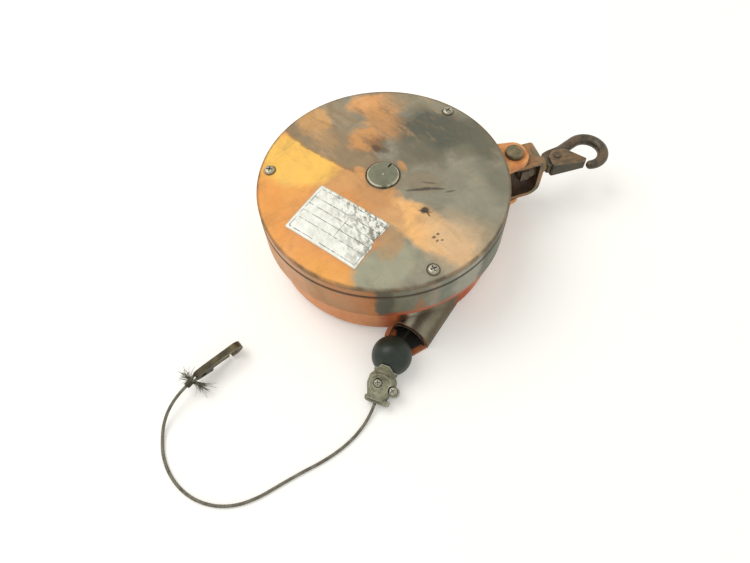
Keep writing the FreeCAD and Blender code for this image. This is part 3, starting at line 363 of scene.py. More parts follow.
COVER_R = 80.0 * MM
RIM_HEIGHT = 60.0 * MM               # above it the cover has its top's colours, below it the side's
SHAFT_GAP_R = 11.4 * MM              # dark gap round the shaft's end
BEVEL_R = 9.1 * MM                   # painted highlight on the chamfer of the shaft's end
EAR_START = 76.5 * MM                # from here out the suspension ears have fresher paint
CRISP = 0.12                         # an area this crisp or crisper gets the brown outline
PLATE_MIDDLE = (-37.1 * MM, -26.3 * MM, 0.0)
PLATE_TURN = math.radians(35.8)
RULE_SIDE, RULE_END = 15.8, 24.6     # half width and half length of the plate's ruled frame
RULE_ROWS = (9.0, 3.4, -2.2, -7.8)

# Where the cover's enamel is bright, rubbed dull or stained:
# centre, half sizes, turn, colour, strength, ragged, soft.
COVER_AREAS = [
    ((-54, -10), (38, 74), 0, (240, 166, 74), 1.0, 0.25, 0.14),
    ((-20, -8), (28, 22), -50, (218, 158, 94), 0.95, 0.30, 0.15),
    ((-50, 33), (20, 30), 48, (255, 198, 88), 1.0, 0.22, 0.16),
    ((-70, -4), (9, 38), 4, (238, 156, 68), 0.7, 0.3, 0.3),
    ((-37, -26), (24, 32), 36, (228, 148, 78), 0.7, 0.3, 0.18),
    ((12, -46), (33, 12.5), -56, (254, 194, 122), 1.0, 0.28, 0.14),
    ((-5, -28), (9, 7), -50, (210, 156, 102), 0.8, 0.5, 0.3),
    ((-10, -14), (14, 8), -45, (204, 146, 88), 0.8, 0.6, 0.3),
    ((26, -58), (17, 18), 10, (222, 188, 146), 0.8, 0.35, 0.45),
    ((-20, -63), (21, 13), 15, (162, 160, 134), 1.0, 0.3, 0.15),
    ((-10, -48), (7, 13), -40, (192, 150, 100), 0.7, 0.5, 0.3),
    ((-24, 41), (42, 13), -58, (150, 127, 94), 1.0, 0.2, 0.10),
    ((-27, 62), (14, 12), 30, (214, 162, 98), 0.9, 0.5, 0.25),
    ((-27, 46), (6, 13), 20, (186, 146, 98), 0.6, 0.6, 0.3),
    ((-9, 60), (8, 20), 4, (156, 138, 108), 0.95, 0.4, 0.2),
    ((18, 62), (19, 13), -20, (228, 162, 94), 0.95, 0.4, 0.22),
    ((17, 42), (12, 18), 24, (200, 144, 86), 0.9, 0.5, 0.25),
    ((-1, 32), (11, 10), 30, (216, 152, 84), 0.85, 0.6, 0.22),
    ((40, 58), (14, 18), 50, (146, 134, 106), 0.8, 0.4, 0.4),
    ((42, 28), (22, 25), -35, (80, 82, 66), 0.97, 0.3, 0.3),
    ((25, 12), (15, 12), 10, (114, 108, 86), 0.85, 0.5, 0.35),
    ((58, 50), (13, 9), -45, (152, 143, 118), 0.75, 0.35, 0.4),
    ((59, 22), (14, 16), 0, (88, 88, 71), 0.85, 0.4, 0.35),
    ((70, 10), (11, 22), 0, (94, 92, 74), 0.85, 0.4, 0.3),
    ((56, 4), (8, 6), 20, (116, 114, 92), 0.7, 0.5, 0.3),
    ((46, -26), (26, 18), 20, (150, 147, 126), 0.7, 0.4, 0.4),
    ((68, -26), (9, 17), 20, (112, 110, 90), 0.7, 0.4, 0.4),
    ((22, -14), (12, 8), -20, (146, 128, 100), 0.6, 0.6, 0.3),
]
COVER_STAINS = [
    ((5, 27), (6.5, 7), 10, (112, 78, 44), 0.75, 1.1, 0.4),
    ((3, 23), (2.2, 3.4), 20, (66, 48, 30), 0.7, 0.8, 0.35),
    ((8, 19), (2.4, 3.4), 20, (84, 66, 44), 0.6, 0.9, 0.35),
    ((14, -17), (4.5, 0.9), -14, (66, 58, 44), 0.75, 0.7, 0.35),
    ((21, -18.4), (5.5, 1.3), -12, (58, 52, 40), 0.85, 0.9, 0.35),
    ((28, -20.4), (4.5, 0.8), -18, (66, 60, 46), 0.75, 0.7, 0.35),
    ((35, -24.5), (3.0, 0.6), -4, (70, 60, 46), 0.7, 0.5, 0.35),
    ((25, -14.6), (4.0, 0.7), -26, (84, 76, 60), 0.6, 0.7, 0.35),
    ((15.4, -33.4), (2.1, 1.8), 0, (44, 34, 22), 0.95, 0.7, 0.35),
    ((15.4, -34.2), (3.4, 0.6), -30, (52, 40, 26), 0.85, 0.5, 0.35),
    ((16.4, -36.4), (0.6, 1.9), 12, (60, 46, 30), 0.8, 0.4, 0.35),
    ((14, -52.6), (1.1, 0.8), 0, (72, 54, 36), 0.85, 0.6, 0.4),
    ((17, -51.2), (0.9, 0.8), 0, (64, 48, 32), 0.85, 0.6, 0.4),
    ((15, -55.4), (1.2, 0.7), 30, (72, 54, 36), 0.8, 0.6, 0.4),
    ((18, -55.8), (0.9, 0.6), 0, (72, 54, 36), 0.8, 0.6, 0.4),
    ((13.6, 4), (2.0, 4.6), 10, (216, 152, 86), 0.7, 0.7, 0.35),
    ((-12, 8), (2.6, 4), 20, (226, 158, 88), 0.7, 0.7, 0.3),
]


def layered(net, place, color, areas, outline=0.0):
    """Areas laid over one another; a crisp area may get a smudged brown outline."""
    for centre, size, turn, shade, strength, ragged, soft in areas:
        mask = net.times(oval(net, place, centre, size, turn, ragged, soft), strength)
        color = net.lay(color, mask, shade)
        if outline and soft <= CRISP:
            band = net.times(mask, net.minus(1.0, mask), 4.0 * outline)
            color = net.lay(color, band, (122, 92, 58))
    return color


def effects(net, place, reach, grime_and_shade, fineness=1.0, width=None, wear=None, scratches=None):
    """Grain, soiling with painted shade in the corners, edges rubbed bare and on the metals also a painted
    highlight, and scratches of one finish; it may do without the last two.
    """
    grain = net.use("grain", {"Place": place, "Fineness": fineness}).outputs
    dirt_and_shade = net.use("grime_and_shade", {"Place": place, "Reach": reach, "Amount": grime_and_shade}).outputs
    edges = scratch = None
    if width is not None:
        edges = net.use("edge_wear_and_highlight", {"Place": place, "Width": width, "Amount": wear}).outputs
    if scratches is not None:
        scratch = net.use("scratches", {"Place": place, "Amount": scratches}).outputs[0]
    return grain, dirt_and_shade, edges, scratch


def cover_paint():
    """Cover enamel: bright, rubbed and stained areas, brown smears, a dark ring round the shaft's end."""
    net, place = new_material("cover_paint")
    grain, dirt_and_shade, wear, scratch = effects(net, place, reach=0.003, grime_and_shade=0.7, width=0.0009, wear=0.75,
                                         scratches=0.6)
    x, y, z = net.xyz(place)
    radius = net.radius(place)
    cloud = net.noise(place, 46.0, 7.0, 0.62, 0.3)
    grey = net.between(cloud, 0.36, 0.62, (126, 121, 101), (156, 151, 129))
    top = layered(net, place, grey, COVER_AREAS, outline=0.55)
    slanted = net.turned(place, math.radians(-24))
    smear = net.noise(net.stretched(slanted, (1.0, 0.3, 1.0)), 150.0, 7.0, 0.68)
    upper = net.times(net.remap(y, 0.012, 0.03, 0.3, 1.0), net.remap(x, -0.045, -0.030, 0.3, 1.0))
    top = net.lay(top, net.times(net.remap(smear, 0.52, 0.66, 0.0, 0.62), upper), (140, 112, 76))
    top = net.lay(top, net.times(net.remap(smear, 0.45, 0.33, 0.0, 0.4), upper), (228, 176, 118))
    soot = net.noise(net.stretched(slanted, (0.45, 1.0, 1.0)), 64.0, 7.0, 0.7, 0.6)
    top = net.lay(top, net.remap(soot, 0.53, 0.66, 0.0, 0.21), (92, 84, 62))
    top = layered(net, place, top, COVER_STAINS)
    ring = net.remap(radius, SHAFT_GAP_R, SHAFT_GAP_R - 0.0005)
    top = net.lay(top, ring, (46, 38, 28), 0.92)
    halo = net.times(net.remap(radius, 0.0150, 0.0112), net.remap(grain["Tone"], 0.42, 0.58))
    top = net.lay(top, halo, (132, 104, 72), 0.7)
    side = net.use("side_tones", {"Place": place}).outputs["Color"]
    color = net.blend(net.remap(z, RIM_HEIGHT + 0.0012, RIM_HEIGHT), top, side)
    rim = net.times(net.remap(radius, COVER_R - 0.0022, COVER_R - 0.0010),
                    net.remap(z, RIM_HEIGHT - 0.0015, RIM_HEIGHT))
    rim_tone = net.between(grain["Tone"], 0.42, 0.6, (78, 58, 34), (128, 98, 62))
    color = net.lay(color, net.times(rim, net.remap(smear, 0.4, 0.6, 0.45, 0.85)), rim_tone)
    color = net.lay(color, grain["Speck"], (86, 66, 46), 0.35)
    # soiling, with painted shade in the corners
    color = net.lay(color, dirt_and_shade["Mask"], (84, 66, 46), 0.55)
    color = net.lay(color, wear["Mask"], (120, 104, 78), 0.35)
    color = net.lay(color, scratch, (100, 80, 54), 0.6)
    tone = net.remap(grain["Tone"], 0.3, 0.7, 0.93, 1.06)
    color = net.vector("MULTIPLY", color, net.put("CombineXYZ", {0: tone, 1: tone, 2: tone}).outputs[0])
    rough = net.plus(net.remap(cloud, 0.35, 0.65, 0.42, 0.62), net.times(dirt_and_shade["Mask"], 0.2))
    height = net.minus(net.plus(grain["Height"], net.times(smear, 0.8)), net.times(scratch, 1.2))
    finish_off(net, color, rough, height, strength=0.22)


def hood_metal_and_reflections(net, t, s, mottle):
    """Metal of the rope guide's hood with painted reflections: light and dark streaks across it, and a
    painted highlight near the mouth that fades towards the root; t runs with the rope and s across it, in
    millimetres.
    """
    swirl = net.plus(s, net.times(net.minus(mottle, 0.5), 5.0))
    # painted highlight, bright near the mouth and fading towards the root
    shine = net.between(t, 40.0, 54.0, (128, 122, 98), (214, 211, 190))
    inner = net.between(t, 50.0, 56.0, (196, 98, 48), (58, 52, 38))
    # light and dark streaks across the hood: painted reflection and painted shade
    shade = net.blend(net.remap(swirl, -5.5, -3.0), inner, shine)
    shade = net.lay(shade, net.remap(swirl, -0.5, 2.0), (92, 86, 66))
    shade = net.lay(shade, net.remap(swirl, 4.5, 7.0), (152, 147, 124))
    shade = net.lay(shade, net.remap(swirl, 9.5, 12.0), (100, 88, 62))
    # darker towards the root, where the painted highlight fades
    return net.lay(shade, net.remap(t, 54.0, 30.0), (112, 98, 72), 0.6)


def bore_shade(net, t, s, z):
    """Mask of the arched bore's inside, painted black as shade; it runs out in a curve on its floor."""
    square = net.times(s, s)
    inside = net.times(net.calc("LESS_THAN", net.calc("ABSOLUTE", s), BORE_HALF),
                       net.calc("LESS_THAN", net.plus(z, net.times(square, 0.045)), BORE_TOP))
    soot = net.remap(net.minus(t, net.minus(BORE_SHADE_END, net.times(square, 0.13))), 0.0, -3.0)
    return net.times(inside, net.times(soot, net.remap(t, HOOD_ROOT, HOOD_ROOT + 2.0)))


def housing_paint():
    """Side tones of the body, the guide's bare hood with painted reflections and highlight, its bore painted
    black as shade, and fresher paint on the ears.
    """
    net, place = new_material("housing_paint")
    grain, dirt_and_shade, wear, scratch = effects(net, place, reach=0.008, grime_and_shade=0.75, width=0.0009, wear=0.6,
                                         scratches=0.5)
    x, _, height_m = net.xyz(place)
    z = net.times(height_m, 1000.0)
    local = net.vector("SUBTRACT", place, tuple(FOOT * MM))
    t = net.times(net.dot(local, tuple(ALONG)), 1000.0)
    s = net.times(net.dot(local, tuple(OUTWARD)), 1000.0)
    mottle = net.noise(place, 95.0, 6.0, 0.65)
    low = net.remap(z, HOOD_TOP, HOOD_TOP - 2.0)
    hood = net.times(net.remap(t, HOOD_ROOT, HOOD_ROOT + 6.0), low, net.remap(s, -10.0, -7.0))
    color = net.use("side_tones", {"Place": place}).outputs["Color"]
    # the hood's metal with its painted reflections and highlight
    color = net.lay(color, hood, hood_metal_and_reflections(net, t, s, mottle))
    root = net.remap(net.plus(t, net.times(mottle, 4.0)), HOOD_ROOT + 6.5, HOOD_ROOT + 2.5)
    color = net.lay(color, net.times(hood, root), (156, 80, 44))
    lip = net.times(net.remap(t, MOUTH, MOUTH + 0.6), low, net.remap(s, -14.0, -12.5))
    color = net.lay(color, lip, net.between(mottle, 0.4, 0.6, (206, 116, 58), (170, 96, 54)))
    fresh = net.between(mottle, 0.42, 0.6, (242, 168, 98), (216, 134, 70))
    color = net.lay(color, net.remap(x, EAR_START, EAR_START + 0.002), fresh)
    color = net.lay(color, grain["Speck"], (80, 56, 38), 0.3)
    # soiling, with painted shade in the corners
    color = net.lay(color, dirt_and_shade["Mask"], (74, 52, 36), 0.6)
    color = net.lay(color, wear["Mask"], (138, 122, 100), 0.7)
    color = net.lay(color, scratch, (96, 80, 62), 0.5)
    # the bore's inside and floor painted black as shade
    color = net.lay(color, net.times(bore_shade(net, t, s, z), low), (18, 14, 9))
    rough = net.plus(net.remap(dirt_and_shade["Cloud"], 0.35, 0.65, 0.4, 0.6), net.times(dirt_and_shade["Mask"], 0.2))
    finish_off(net, color, rough, net.minus(grain["Height"], scratch))


def worn_metal(name, dark, mid, light, rust=None, rusty=0.0, rough=(0.35, 0.6), metal=0.6, wear=0.6,
               grime_and_shade=0.6, dirt_and_shade_tone=(38, 30, 22), strength=0.3, reach=0.003, upper=None, extra=None):
    """Bare or browned metal: mottled tone, brighter edges that are rubbed bare and also a painted highlight,
    rust blooms, and soiling with painted shade in the corners.
    """
    net, place = new_material(name)
    grain, dirt_and_shade, edges, scratch = effects(net, place, reach=reach, grime_and_shade=grime_and_shade, width=0.0006, wear=wear,
                                          scratches=0.6)
    mottle = net.noise(place, 170.0, 6.0, 0.65, 0.4)
    color = net.between(mottle, 0.36, 0.64, dark, mid)
    if upper:
        # faces that point upwards get their own lighter, warmer tones, streaked along y
        facing = net.xyz(net.put("NewGeometry").outputs["Normal"])[2]
        rubbed = net.noise(net.stretched(place, (1.0, 3.0, 1.0)), 190.0, 5.0, 0.65)
        color = net.lay(color, net.remap(facing, 0.55, 0.8), net.between(rubbed, 0.42, 0.58, *upper))
    bloom = net.noise(place, 85.0, 6.0, 0.7)
    if rust:
        color = net.lay(color, net.remap(bloom, 0.46, 0.6), rust, rusty)
    # bright edges: rubbed bare metal, and a painted highlight
    color = net.lay(color, edges["Mask"], light, 0.8)
    color = net.lay(color, scratch, light, 0.5)
    # soiling, with painted shade in the corners
    color = net.lay(color, dirt_and_shade["Mask"], dirt_and_shade_tone, 0.75)
    color = net.lay(color, grain["Speck"], dark, 0.3)
    if extra:
        color = extra(net, place, color, mottle)
    roughness = net.plus(net.remap(mottle, 0.35, 0.65, *rough), net.times(dirt_and_shade["Mask"], 0.2))
    shine = net.times(net.minus(1.0, net.times(dirt_and_shade["Mask"], 0.8)), metal)
    height = net.plus(grain["Height"], net.times(bloom, 0.8))
    finish_off(net, color, roughness, height, metal=shine, strength=strength, depth=0.00025)


def ball_rubber():
    """Dark rubber of the stop ball, scuffed and a little greasy."""
    net, place = new_material("ball_rubber")
    grain, dirt_and_shade, _, scuff = effects(net, place, reach=0.003, grime_and_shade=0.5, fineness=1.6, scratches=0.7)
    color = net.between(grain["Tone"], 0.35, 0.65, (32, 40, 33), (44, 53, 43))
    color = net.lay(color, scuff, (84, 90, 82), 0.4)
    # soiling, with painted shade in the corners
    color = net.lay(color, dirt_and_shade["Mask"], (26, 26, 22), 0.5)
    rough = net.remap(dirt_and_shade["Cloud"], 0.35, 0.65, 0.36, 0.5)
    finish_off(net, color, rough, grain["Height"], strength=0.12, specular=0.35)


def guide_plastic():
    """Black liner of the rope guide, rubbed pale along the upper edge of its mouth."""
    net, place = new_material("guide_plastic")
    grain, dirt_and_shade, edges, _ = effects(net, place, reach=0.004, grime_and_shade=0.6, fineness=1.4, width=0.0005, wear=0.9)
    color = net.between(grain["Tone"], 0.35, 0.65, (20, 16, 12), (34, 27, 20))
    # soiling, with painted shade in the corners
    color = net.lay(color, dirt_and_shade["Mask"], (52, 38, 26), 0.4)
    worn = net.remap(net.calc("MAXIMUM", edges["Mask"], edges["Soft"]), 0.2, 0.7)
    mouth = net.remap(net.dot(place, tuple(ALONG)), (MOUTH - 0.2) * MM, (MOUTH + 0.6) * MM)
    upper = net.remap(net.xyz(place)[2], 0.008, 0.010)
    worn = net.times(worn, mouth, upper)
    color = net.lay(color, worn, (172, 150, 120), 0.75)
    rough = net.remap(dirt_and_shade["Cloud"], 0.35, 0.65, 0.4, 0.65)
    finish_off(net, color, rough, grain["Height"], strength=0.2)


def gasket_rubber():
    """Dusty rubber in the seam under the cover."""
    net, place = new_material("gasket")
    grain, dirt_and_shade, _, _ = effects(net, place, reach=0.002, grime_and_shade=0.8, fineness=2.0)
    color = net.between(grain["Tone"], 0.35, 0.65, (24, 20, 16), (44, 36, 28))
    # soiling, with painted shade in the corners
    color = net.lay(color, dirt_and_shade["Mask"], (74, 56, 38), 0.5)
    rough = net.remap(dirt_and_shade["Cloud"], 0.35, 0.65, 0.6, 0.85)
    finish_off(net, color, rough, grain["Height"], strength=0.4)


def ruled_boxes(net, x, y):
    """Ink of the plate's plain frame and rows, in millimetres from the plate's middle."""
    def rule(value, at, half):
        return net.remap(net.calc("ABSOLUTE", net.minus(value, at)), half, half + 0.12, 1.0, 0.0)

    def within(value, low, high):
        return net.times(net.calc("GREATER_THAN", value, low), net.calc("LESS_THAN", value, high))

    across = within(y, -RULE_END, RULE_END)
    lines = [net.times(rule(x, at, 0.22), across) for at in (-RULE_SIDE, RULE_SIDE)]
    lines += [net.times(rule(x, at, 0.18), across) for at in RULE_ROWS]
    lines += [net.times(rule(y, at, 0.16), within(x, -RULE_SIDE - 0.1, RULE_SIDE + 0.1))
              for at in (-RULE_END, RULE_END)]
    lines.append(net.times(rule(y, -3.0, 0.12), within(x, RULE_ROWS[-1], RULE_ROWS[0])))
    ink = lines[0]
    for line in lines[1:]:
        ink = net.calc("MAXIMUM", ink, line)
    return ink


def label_foil():
    """Blank rating plate: whitish foil with plain ruled boxes, stained and chafed."""
    net, place = new_material("label_foil")
    grain, dirt_and_shade, _, scratch = effects(net, place, reach=0.002, grime_and_shade=0.7, fineness=1.5, scratches=1.0)
    plate = net.xyz(net.turned(net.vector("SUBTRACT", place, PLATE_MIDDLE), PLATE_TURN, back=True))
    x, y = net.times(plate[0], 1000.0), net.times(plate[1], 1000.0)
    color = net.between(grain["Tone"], 0.35, 0.65, (230, 231, 218), (248, 248, 240))
    chafe = net.noise(net.stretched(place, (1.6, 0.8, 1.0)), 240.0, 6.0, 0.72)
    corner = net.remap(net.minus(x, net.times(y, 0.75)), -4.0, 20.0)
    grey = net.times(net.remap(chafe, 0.47, 0.58), net.plus(net.times(corner, 0.8), 0.12))
    color = net.lay(color, grey, (128, 124, 108))
    ink = net.times(ruled_boxes(net, x, y), net.remap(net.noise(place, 300.0, 6.0, 0.7), 0.40, 0.56))
    color = net.lay(color, ink, (40, 38, 32), 0.85)
    past_side = net.minus(net.calc("ABSOLUTE", x), 17.2)
    past_end = net.minus(net.calc("ABSOLUTE", y), 25.8)
    border = net.remap(net.calc("MAXIMUM", past_side, past_end), 0.0, 0.6)
    color = net.lay(color, border, (166, 140, 96), 0.5)
    # soiling, with painted shade in the corners
    color = net.lay(color, dirt_and_shade["Mask"], (122, 108, 82), 0.45)
    color = net.lay(color, scratch, (110, 104, 90), 0.5)
    rough = net.remap(chafe, 0.35, 0.65, 0.38, 0.6)
    height = net.minus(grain["Height"], net.times(scratch, 0.8))
    finish_off(net, color, rough, height, metal=0.15, strength=0.15, depth=0.00015)


def rope_wire(name, low, high, gap):
    """Drawn wires under old grease; the fine wires run across each strand."""
    net, place = new_material(name)
    grain, dirt_and_shade, _, _ = effects(net, place, reach=0.0012, grime_and_shade=0.85, fineness=2.0)
    round_rope, run, _ = net.xyz(net.put("TexCoord").outputs["UV"])
    phase = net.plus(net.times(round_rope, 36.0 * 2 * math.pi), net.times(run, 5200.0))
    wires = net.remap(net.calc("SINE", phase), -0.9, 0.9)
    color = net.between(grain["Tone"], 0.35, 0.65, low, high)
    color = net.lay(color, net.minus(1.0, wires), gap, 0.55)
    # soiling, with painted shade in the corners
    color = net.lay(color, dirt_and_shade["Mask"], (56, 50, 34), 0.6)
    rough = net.remap(grain["Tone"], 0.35, 0.65, 0.32, 0.55)
    height = net.plus(wires, net.times(grain["Height"], 0.3))
    finish_off(net, color, rough, height, metal=0.65, strength=0.5, depth=0.0001)


def slot_shade_and_bevel_highlight(net, place, color, mottle):
    """The shaft's end: its slot painted black as shade, a painted highlight on its chamfer, and a bright
    centre.
    """
    radius = net.radius(place)
    # painted highlight on the chamfer
    bevel = net.times(net.remap(radius, BEVEL_R, BEVEL_R + 0.0003), net.remap(mottle, 0.42, 0.56))
    color = net.lay(color, bevel, (206, 203, 178), 0.85)
    color = net.lay(color, net.remap(radius, 0.0007, 0.0005), (190, 188, 164))
    # the slot painted black as shade
    slot_shade = oval(net, place, (6.5, 5.4), (2.6, 0.62), turn=39, ragged=0.05, soft=0.1)
    return net.lay(color, slot_shade, (16, 14, 10))


def shaded_inside(net, place, color, mottle):
    """Painted shade on the yoke between its legs, dark and mottled."""
    x, y, z = (net.times(part, 1000.0) for part in net.xyz(place))
    gap = net.times(net.calc("GREATER_THAN", z, LEG_LOW), net.calc("LESS_THAN", z, LEG_HIGH),
                    net.calc("LESS_THAN", x, BOW_INSIDE),
                    net.calc("LESS_THAN", net.calc("ABSOLUTE", y), YOKE_HALF))
    # the yoke's inside painted dark as shade
    return net.lay(color, gap, net.between(mottle, 0.4, 0.6, (38, 30, 22), (74, 54, 38)), 0.92)


def brassy_collar(net, place, color, mottle):
    """Rubbed collar where the hook turns in the yoke."""
    x = net.times(net.xyz(place)[0], 1000.0)
    collar = net.times(net.remap(x, COLLAR_FROM, COLLAR_FROM + 0.3),
                       net.remap(x, COLLAR_TO, COLLAR_TO - 0.4))
    return net.lay(color, net.times(collar, net.remap(mottle, 0.34, 0.5, 0.4, 0.95)), (150, 122, 76))


def darker_root(net, place, color, mottle):
    """Darker tones on the end hook towards the rope's loop."""
    along = net.dot(net.vector("SUBTRACT", place, tuple(EYE * MM)), tuple(END_LINE))
    grease = net.between(mottle, 0.4, 0.6, (42, 38, 25), (70, 62, 42))
    return net.lay(color, net.remap(along, 0.006, 0.019, 0.75, 0.0), grease)


cover_paint()
housing_paint()
ball_rubber()
guide_plastic()
gasket_rubber()
label_foil()
rope_wire("rope_wire", (112, 107, 92), (164, 159, 144), (56, 50, 38))
rope_wire("rope_greasy", (28, 25, 18), (52, 47, 35), (16, 13, 9))
worn_metal("bare_steel", (104, 100, 82), (168, 164, 142), (222, 218, 200), (128, 100, 62), 0.3, (0.28, 0.45),
           metal=0.75)
# edges laid bright on the screws: rubbed bare, and a painted highlight
worn_metal("plated_screw", (128, 124, 104), (188, 184, 164), (236, 234, 220), (140, 112, 66), 0.25,
           rough=(0.25, 0.4), metal=0.7, wear=0.9, grime_and_shade=0.75, dirt_and_shade_tone=(44, 36, 24), reach=0.0016)
worn_metal("shaft_face", (104, 106, 86), (130, 131, 108), (204, 202, 180), (116, 108, 80), 0.35, (0.4, 0.55),
           metal=0.3, wear=0.3, grime_and_shade=0.55, dirt_and_shade_tone=(30, 26, 18), reach=0.0014, strength=0.15,
           extra=slot_shade_and_bevel_highlight)
worn_metal("bronze", (120, 86, 48), (170, 128, 74), (214, 176, 112), metal=0.8, grime_and_shade=0.4)
worn_metal("drum_cast", (124, 124, 118), (164, 163, 156), (205, 204, 198), metal=0.7, grime_and_shade=0.4)
worn_metal("spring_steel", (54, 54, 58), (84, 84, 88), (140, 140, 142), metal=0.8, rough=(0.25, 0.45),
           grime_and_shade=0.3)
# edges laid bright on the clamp: rubbed bare, and a painted highlight
worn_metal("zinc_cast", (98, 96, 75), (160, 158, 132), (232, 230, 212), (112, 106, 74), 0.35, (0.36, 0.55),
           metal=0.4, wear=0.9, grime_and_shade=1.0, dirt_and_shade_tone=(34, 31, 20), reach=0.004)
worn_metal("hook_steel", (62, 55, 44), (104, 94, 76), (176, 168, 146), (110, 78, 50), 0.45, (0.3, 0.5),
           metal=0.4, wear=0.65, grime_and_shade=0.6, extra=brassy_collar)
worn_metal("yoke_steel", (92, 84, 60), (142, 128, 94), (190, 174, 136), (190, 126, 70), 0.55, (0.4, 0.6),
           metal=0.3, wear=0.6, grime_and_shade=0.9, dirt_and_shade_tone=(34, 26, 18), reach=0.008, extra=shaded_inside)
worn_metal("gate_sheet", (58, 57, 47), (84, 82, 68), (160, 148, 120), (92, 70, 48), 0.35, (0.35, 0.6),
           metal=0.45, wear=0.6, grime_and_shade=0.7, upper=((140, 110, 78), (100, 88, 68)))
worn_metal("end_hook_steel", (62, 56, 38), (108, 98, 68), (188, 178, 142), (92, 78, 44), 0.4, (0.35, 0.55),
           metal=0.45, wear=0.8, grime_and_shade=0.9, dirt_and_shade_tone=(30, 26, 16), reach=0.004, extra=darker_root)
worn_metal("greasy_ferrule", (42, 42, 28), (74, 72, 50), (128, 124, 92), (64, 58, 34), 0.4, (0.45, 0.65),
           metal=0.3, wear=0.5, grime_and_shade=0.9, dirt_and_shade_tone=(26, 24, 15), reach=0.004)

FACED = {"shaft_cap": "shaft_face", "cover_screws": "plated_screw", "clamp_screws": "plated_screw",
         "rope_ferrule": "greasy_ferrule"}
for name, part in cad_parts.items():
    for index, material in enumerate(part.data.materials):
        part.data.materials[index] = MATERIALS[FACED.get(name, material.name.split(".")[0])]


# ---- wire rope ----------------------------------------------------------
ROPE_R = 1.0 * MM
STRANDS = 6
LAY = 13.0 * MM          # length over which a strand goes once round


def add_piece(name, mesh, finish):
    """New object with one finish."""
    piece = bpy.data.objects.new(name, mesh)
    bpy.context.scene.collection.objects.link(piece)
    mesh.materials.append(MATERIALS[finish])
    return piece


def tube_faces(rings, around, first=0, capped=True):
    """Faces of a tube made of rings of points, with or without its two ends."""
    faces = []
    for i in range(rings - 1):
        low, high = first + i * around, first + (i + 1) * around
        for j in range(around):
            n = (j + 1) % around
            faces.append((low + j, low + n, high + n, high + j))
    if capped:
        faces.append(tuple(first + j for j in reversed(range(around))))
        faces.append(tuple(first + (rings - 1) * around + j for j in range(around)))
    return faces


def strand_profile(angle):
    """Radius of six round strands laid side by side, at an angle round the rope."""
    step = 2 * math.pi / STRANDS
    off = (angle + step / 2) % step - step / 2
    middle, strand = 0.665 * ROPE_R, 0.335 * ROPE_R
    return middle * math.cos(off) + math.sqrt(max(strand ** 2 - (middle * math.sin(off)) ** 2, 0.0))


def directions(path, closed):
    """Unit direction of a path at each of its points."""
    count = len(path)
    result = []
    for i in range(count):
        before = path[(i - 1) % count] if closed else path[max(i - 1, 0)]
        after = path[(i + 1) % count] if closed else path[min(i + 1, count - 1)]
        result.append((after - before).normalized())
    return result


def lay_map(mesh, uvs, around):
    """UV map of a rope; the last face of a ring runs on past 1 and not back to 0."""
    layer = mesh.uv_layers.new(name="lay")
    for polygon in mesh.polygons:
        polygon.use_smooth = len(polygon.vertices) == 4
        columns = [mesh.loops[corner].vertex_index % around for corner in polygon.loop_indices]
        last_face = polygon.use_smooth and around - 1 in columns
        for corner, column in zip(polygon.loop_indices, columns):
            u, v = uvs[mesh.loops[corner].vertex_index]
            layer.data[corner].uv = (u + 1 if last_face and column == 0 else u, v)


def rope_mesh(name, path, closed=False, around=48, finish="rope_wire"):
    """Laid rope that follows a close row of points."""
    count = len(path)
    tangents = directions(path, closed)
    lay = LAY
    if closed:
        total = sum((path[(i + 1) % count] - path[i]).length for i in range(count))
        lay = total / max(round(total / LAY), 1)
    rings = count + 1 if closed else count
    side = tangents[0].orthogonal().normalized()
    vertices, uvs, run = [], [], 0.0
    for i in range(rings):
        k = i % count
        along = tangents[k]
        side = (side - along * side.dot(along)).normalized()
        other = along.cross(side)
        for j in range(around):
            angle = 2 * math.pi * j / around
            radius = strand_profile(angle - 2 * math.pi * run / lay)
            vertices.append(path[k] + (side * math.cos(angle) + other * math.sin(angle)) * radius)
            uvs.append((j / around - run / lay, run))
        if i + 1 < rings:
            run += (path[(k + 1) % count] - path[k]).length
    mesh = bpy.data.meshes.new(name)
    mesh.from_pydata([tuple(v) for v in vertices], [], tube_faces(rings, around, capped=not closed))
    lay_map(mesh, uvs, around)
    return add_piece(name, mesh, finish)


def metres(points):
    """Points in millimetres turned into vectors in metres."""
    return [Vector(p) * MM for p in points]


def line_between(start, end, step=0.0004):
    """Evenly spaced points from start to end."""
    count = max(int((end - start).length / step), 2)
    return [start.lerp(end, i / count) for i in range(count + 1)]


def line_point(along, height):
    """Point on the rope's straight line out of the drum."""
    return Vector((FOOT.x + along * math.cos(PULL), FOOT.y + along * math.sin(PULL), height))


DRUM_HEIGHT = 12.5       # of the rope where it leaves the drum
BALL = line_point(79.3, DRUM_HEIGHT)
CLAMP_HEADING, CLAMP_DIP = math.radians(230.8), math.radians(15.9)   # from the ball down to the floor
CLAMP_LINE = Vector((math.cos(CLAMP_DIP) * math.cos(CLAMP_HEADING),
                     math.cos(CLAMP_DIP) * math.sin(CLAMP_HEADING), -math.sin(CLAMP_DIP)))
CLAMP_END = 30.7         # from the ball's middle to the clamp's outer end
FERRULE_START = -8.4     # from the eye's middle back to the ferrule
FLOOR_LIE = 1.05         # height of the rope's middle where it lies on the floor
ON_FLOOR = [(-69.4, -135.6), (-83.4, -139.9), (-97.6, -142.2), (-110.9, -145.0), (-123.4, -147.9),
            (-135.0, -148.5), (-145.0, -146.4), (-153.8, -142.0), (-161.4, -135.6), (-167.4, -127.2),
            (-171.3, -117.6), (-173.0, -107.4)]
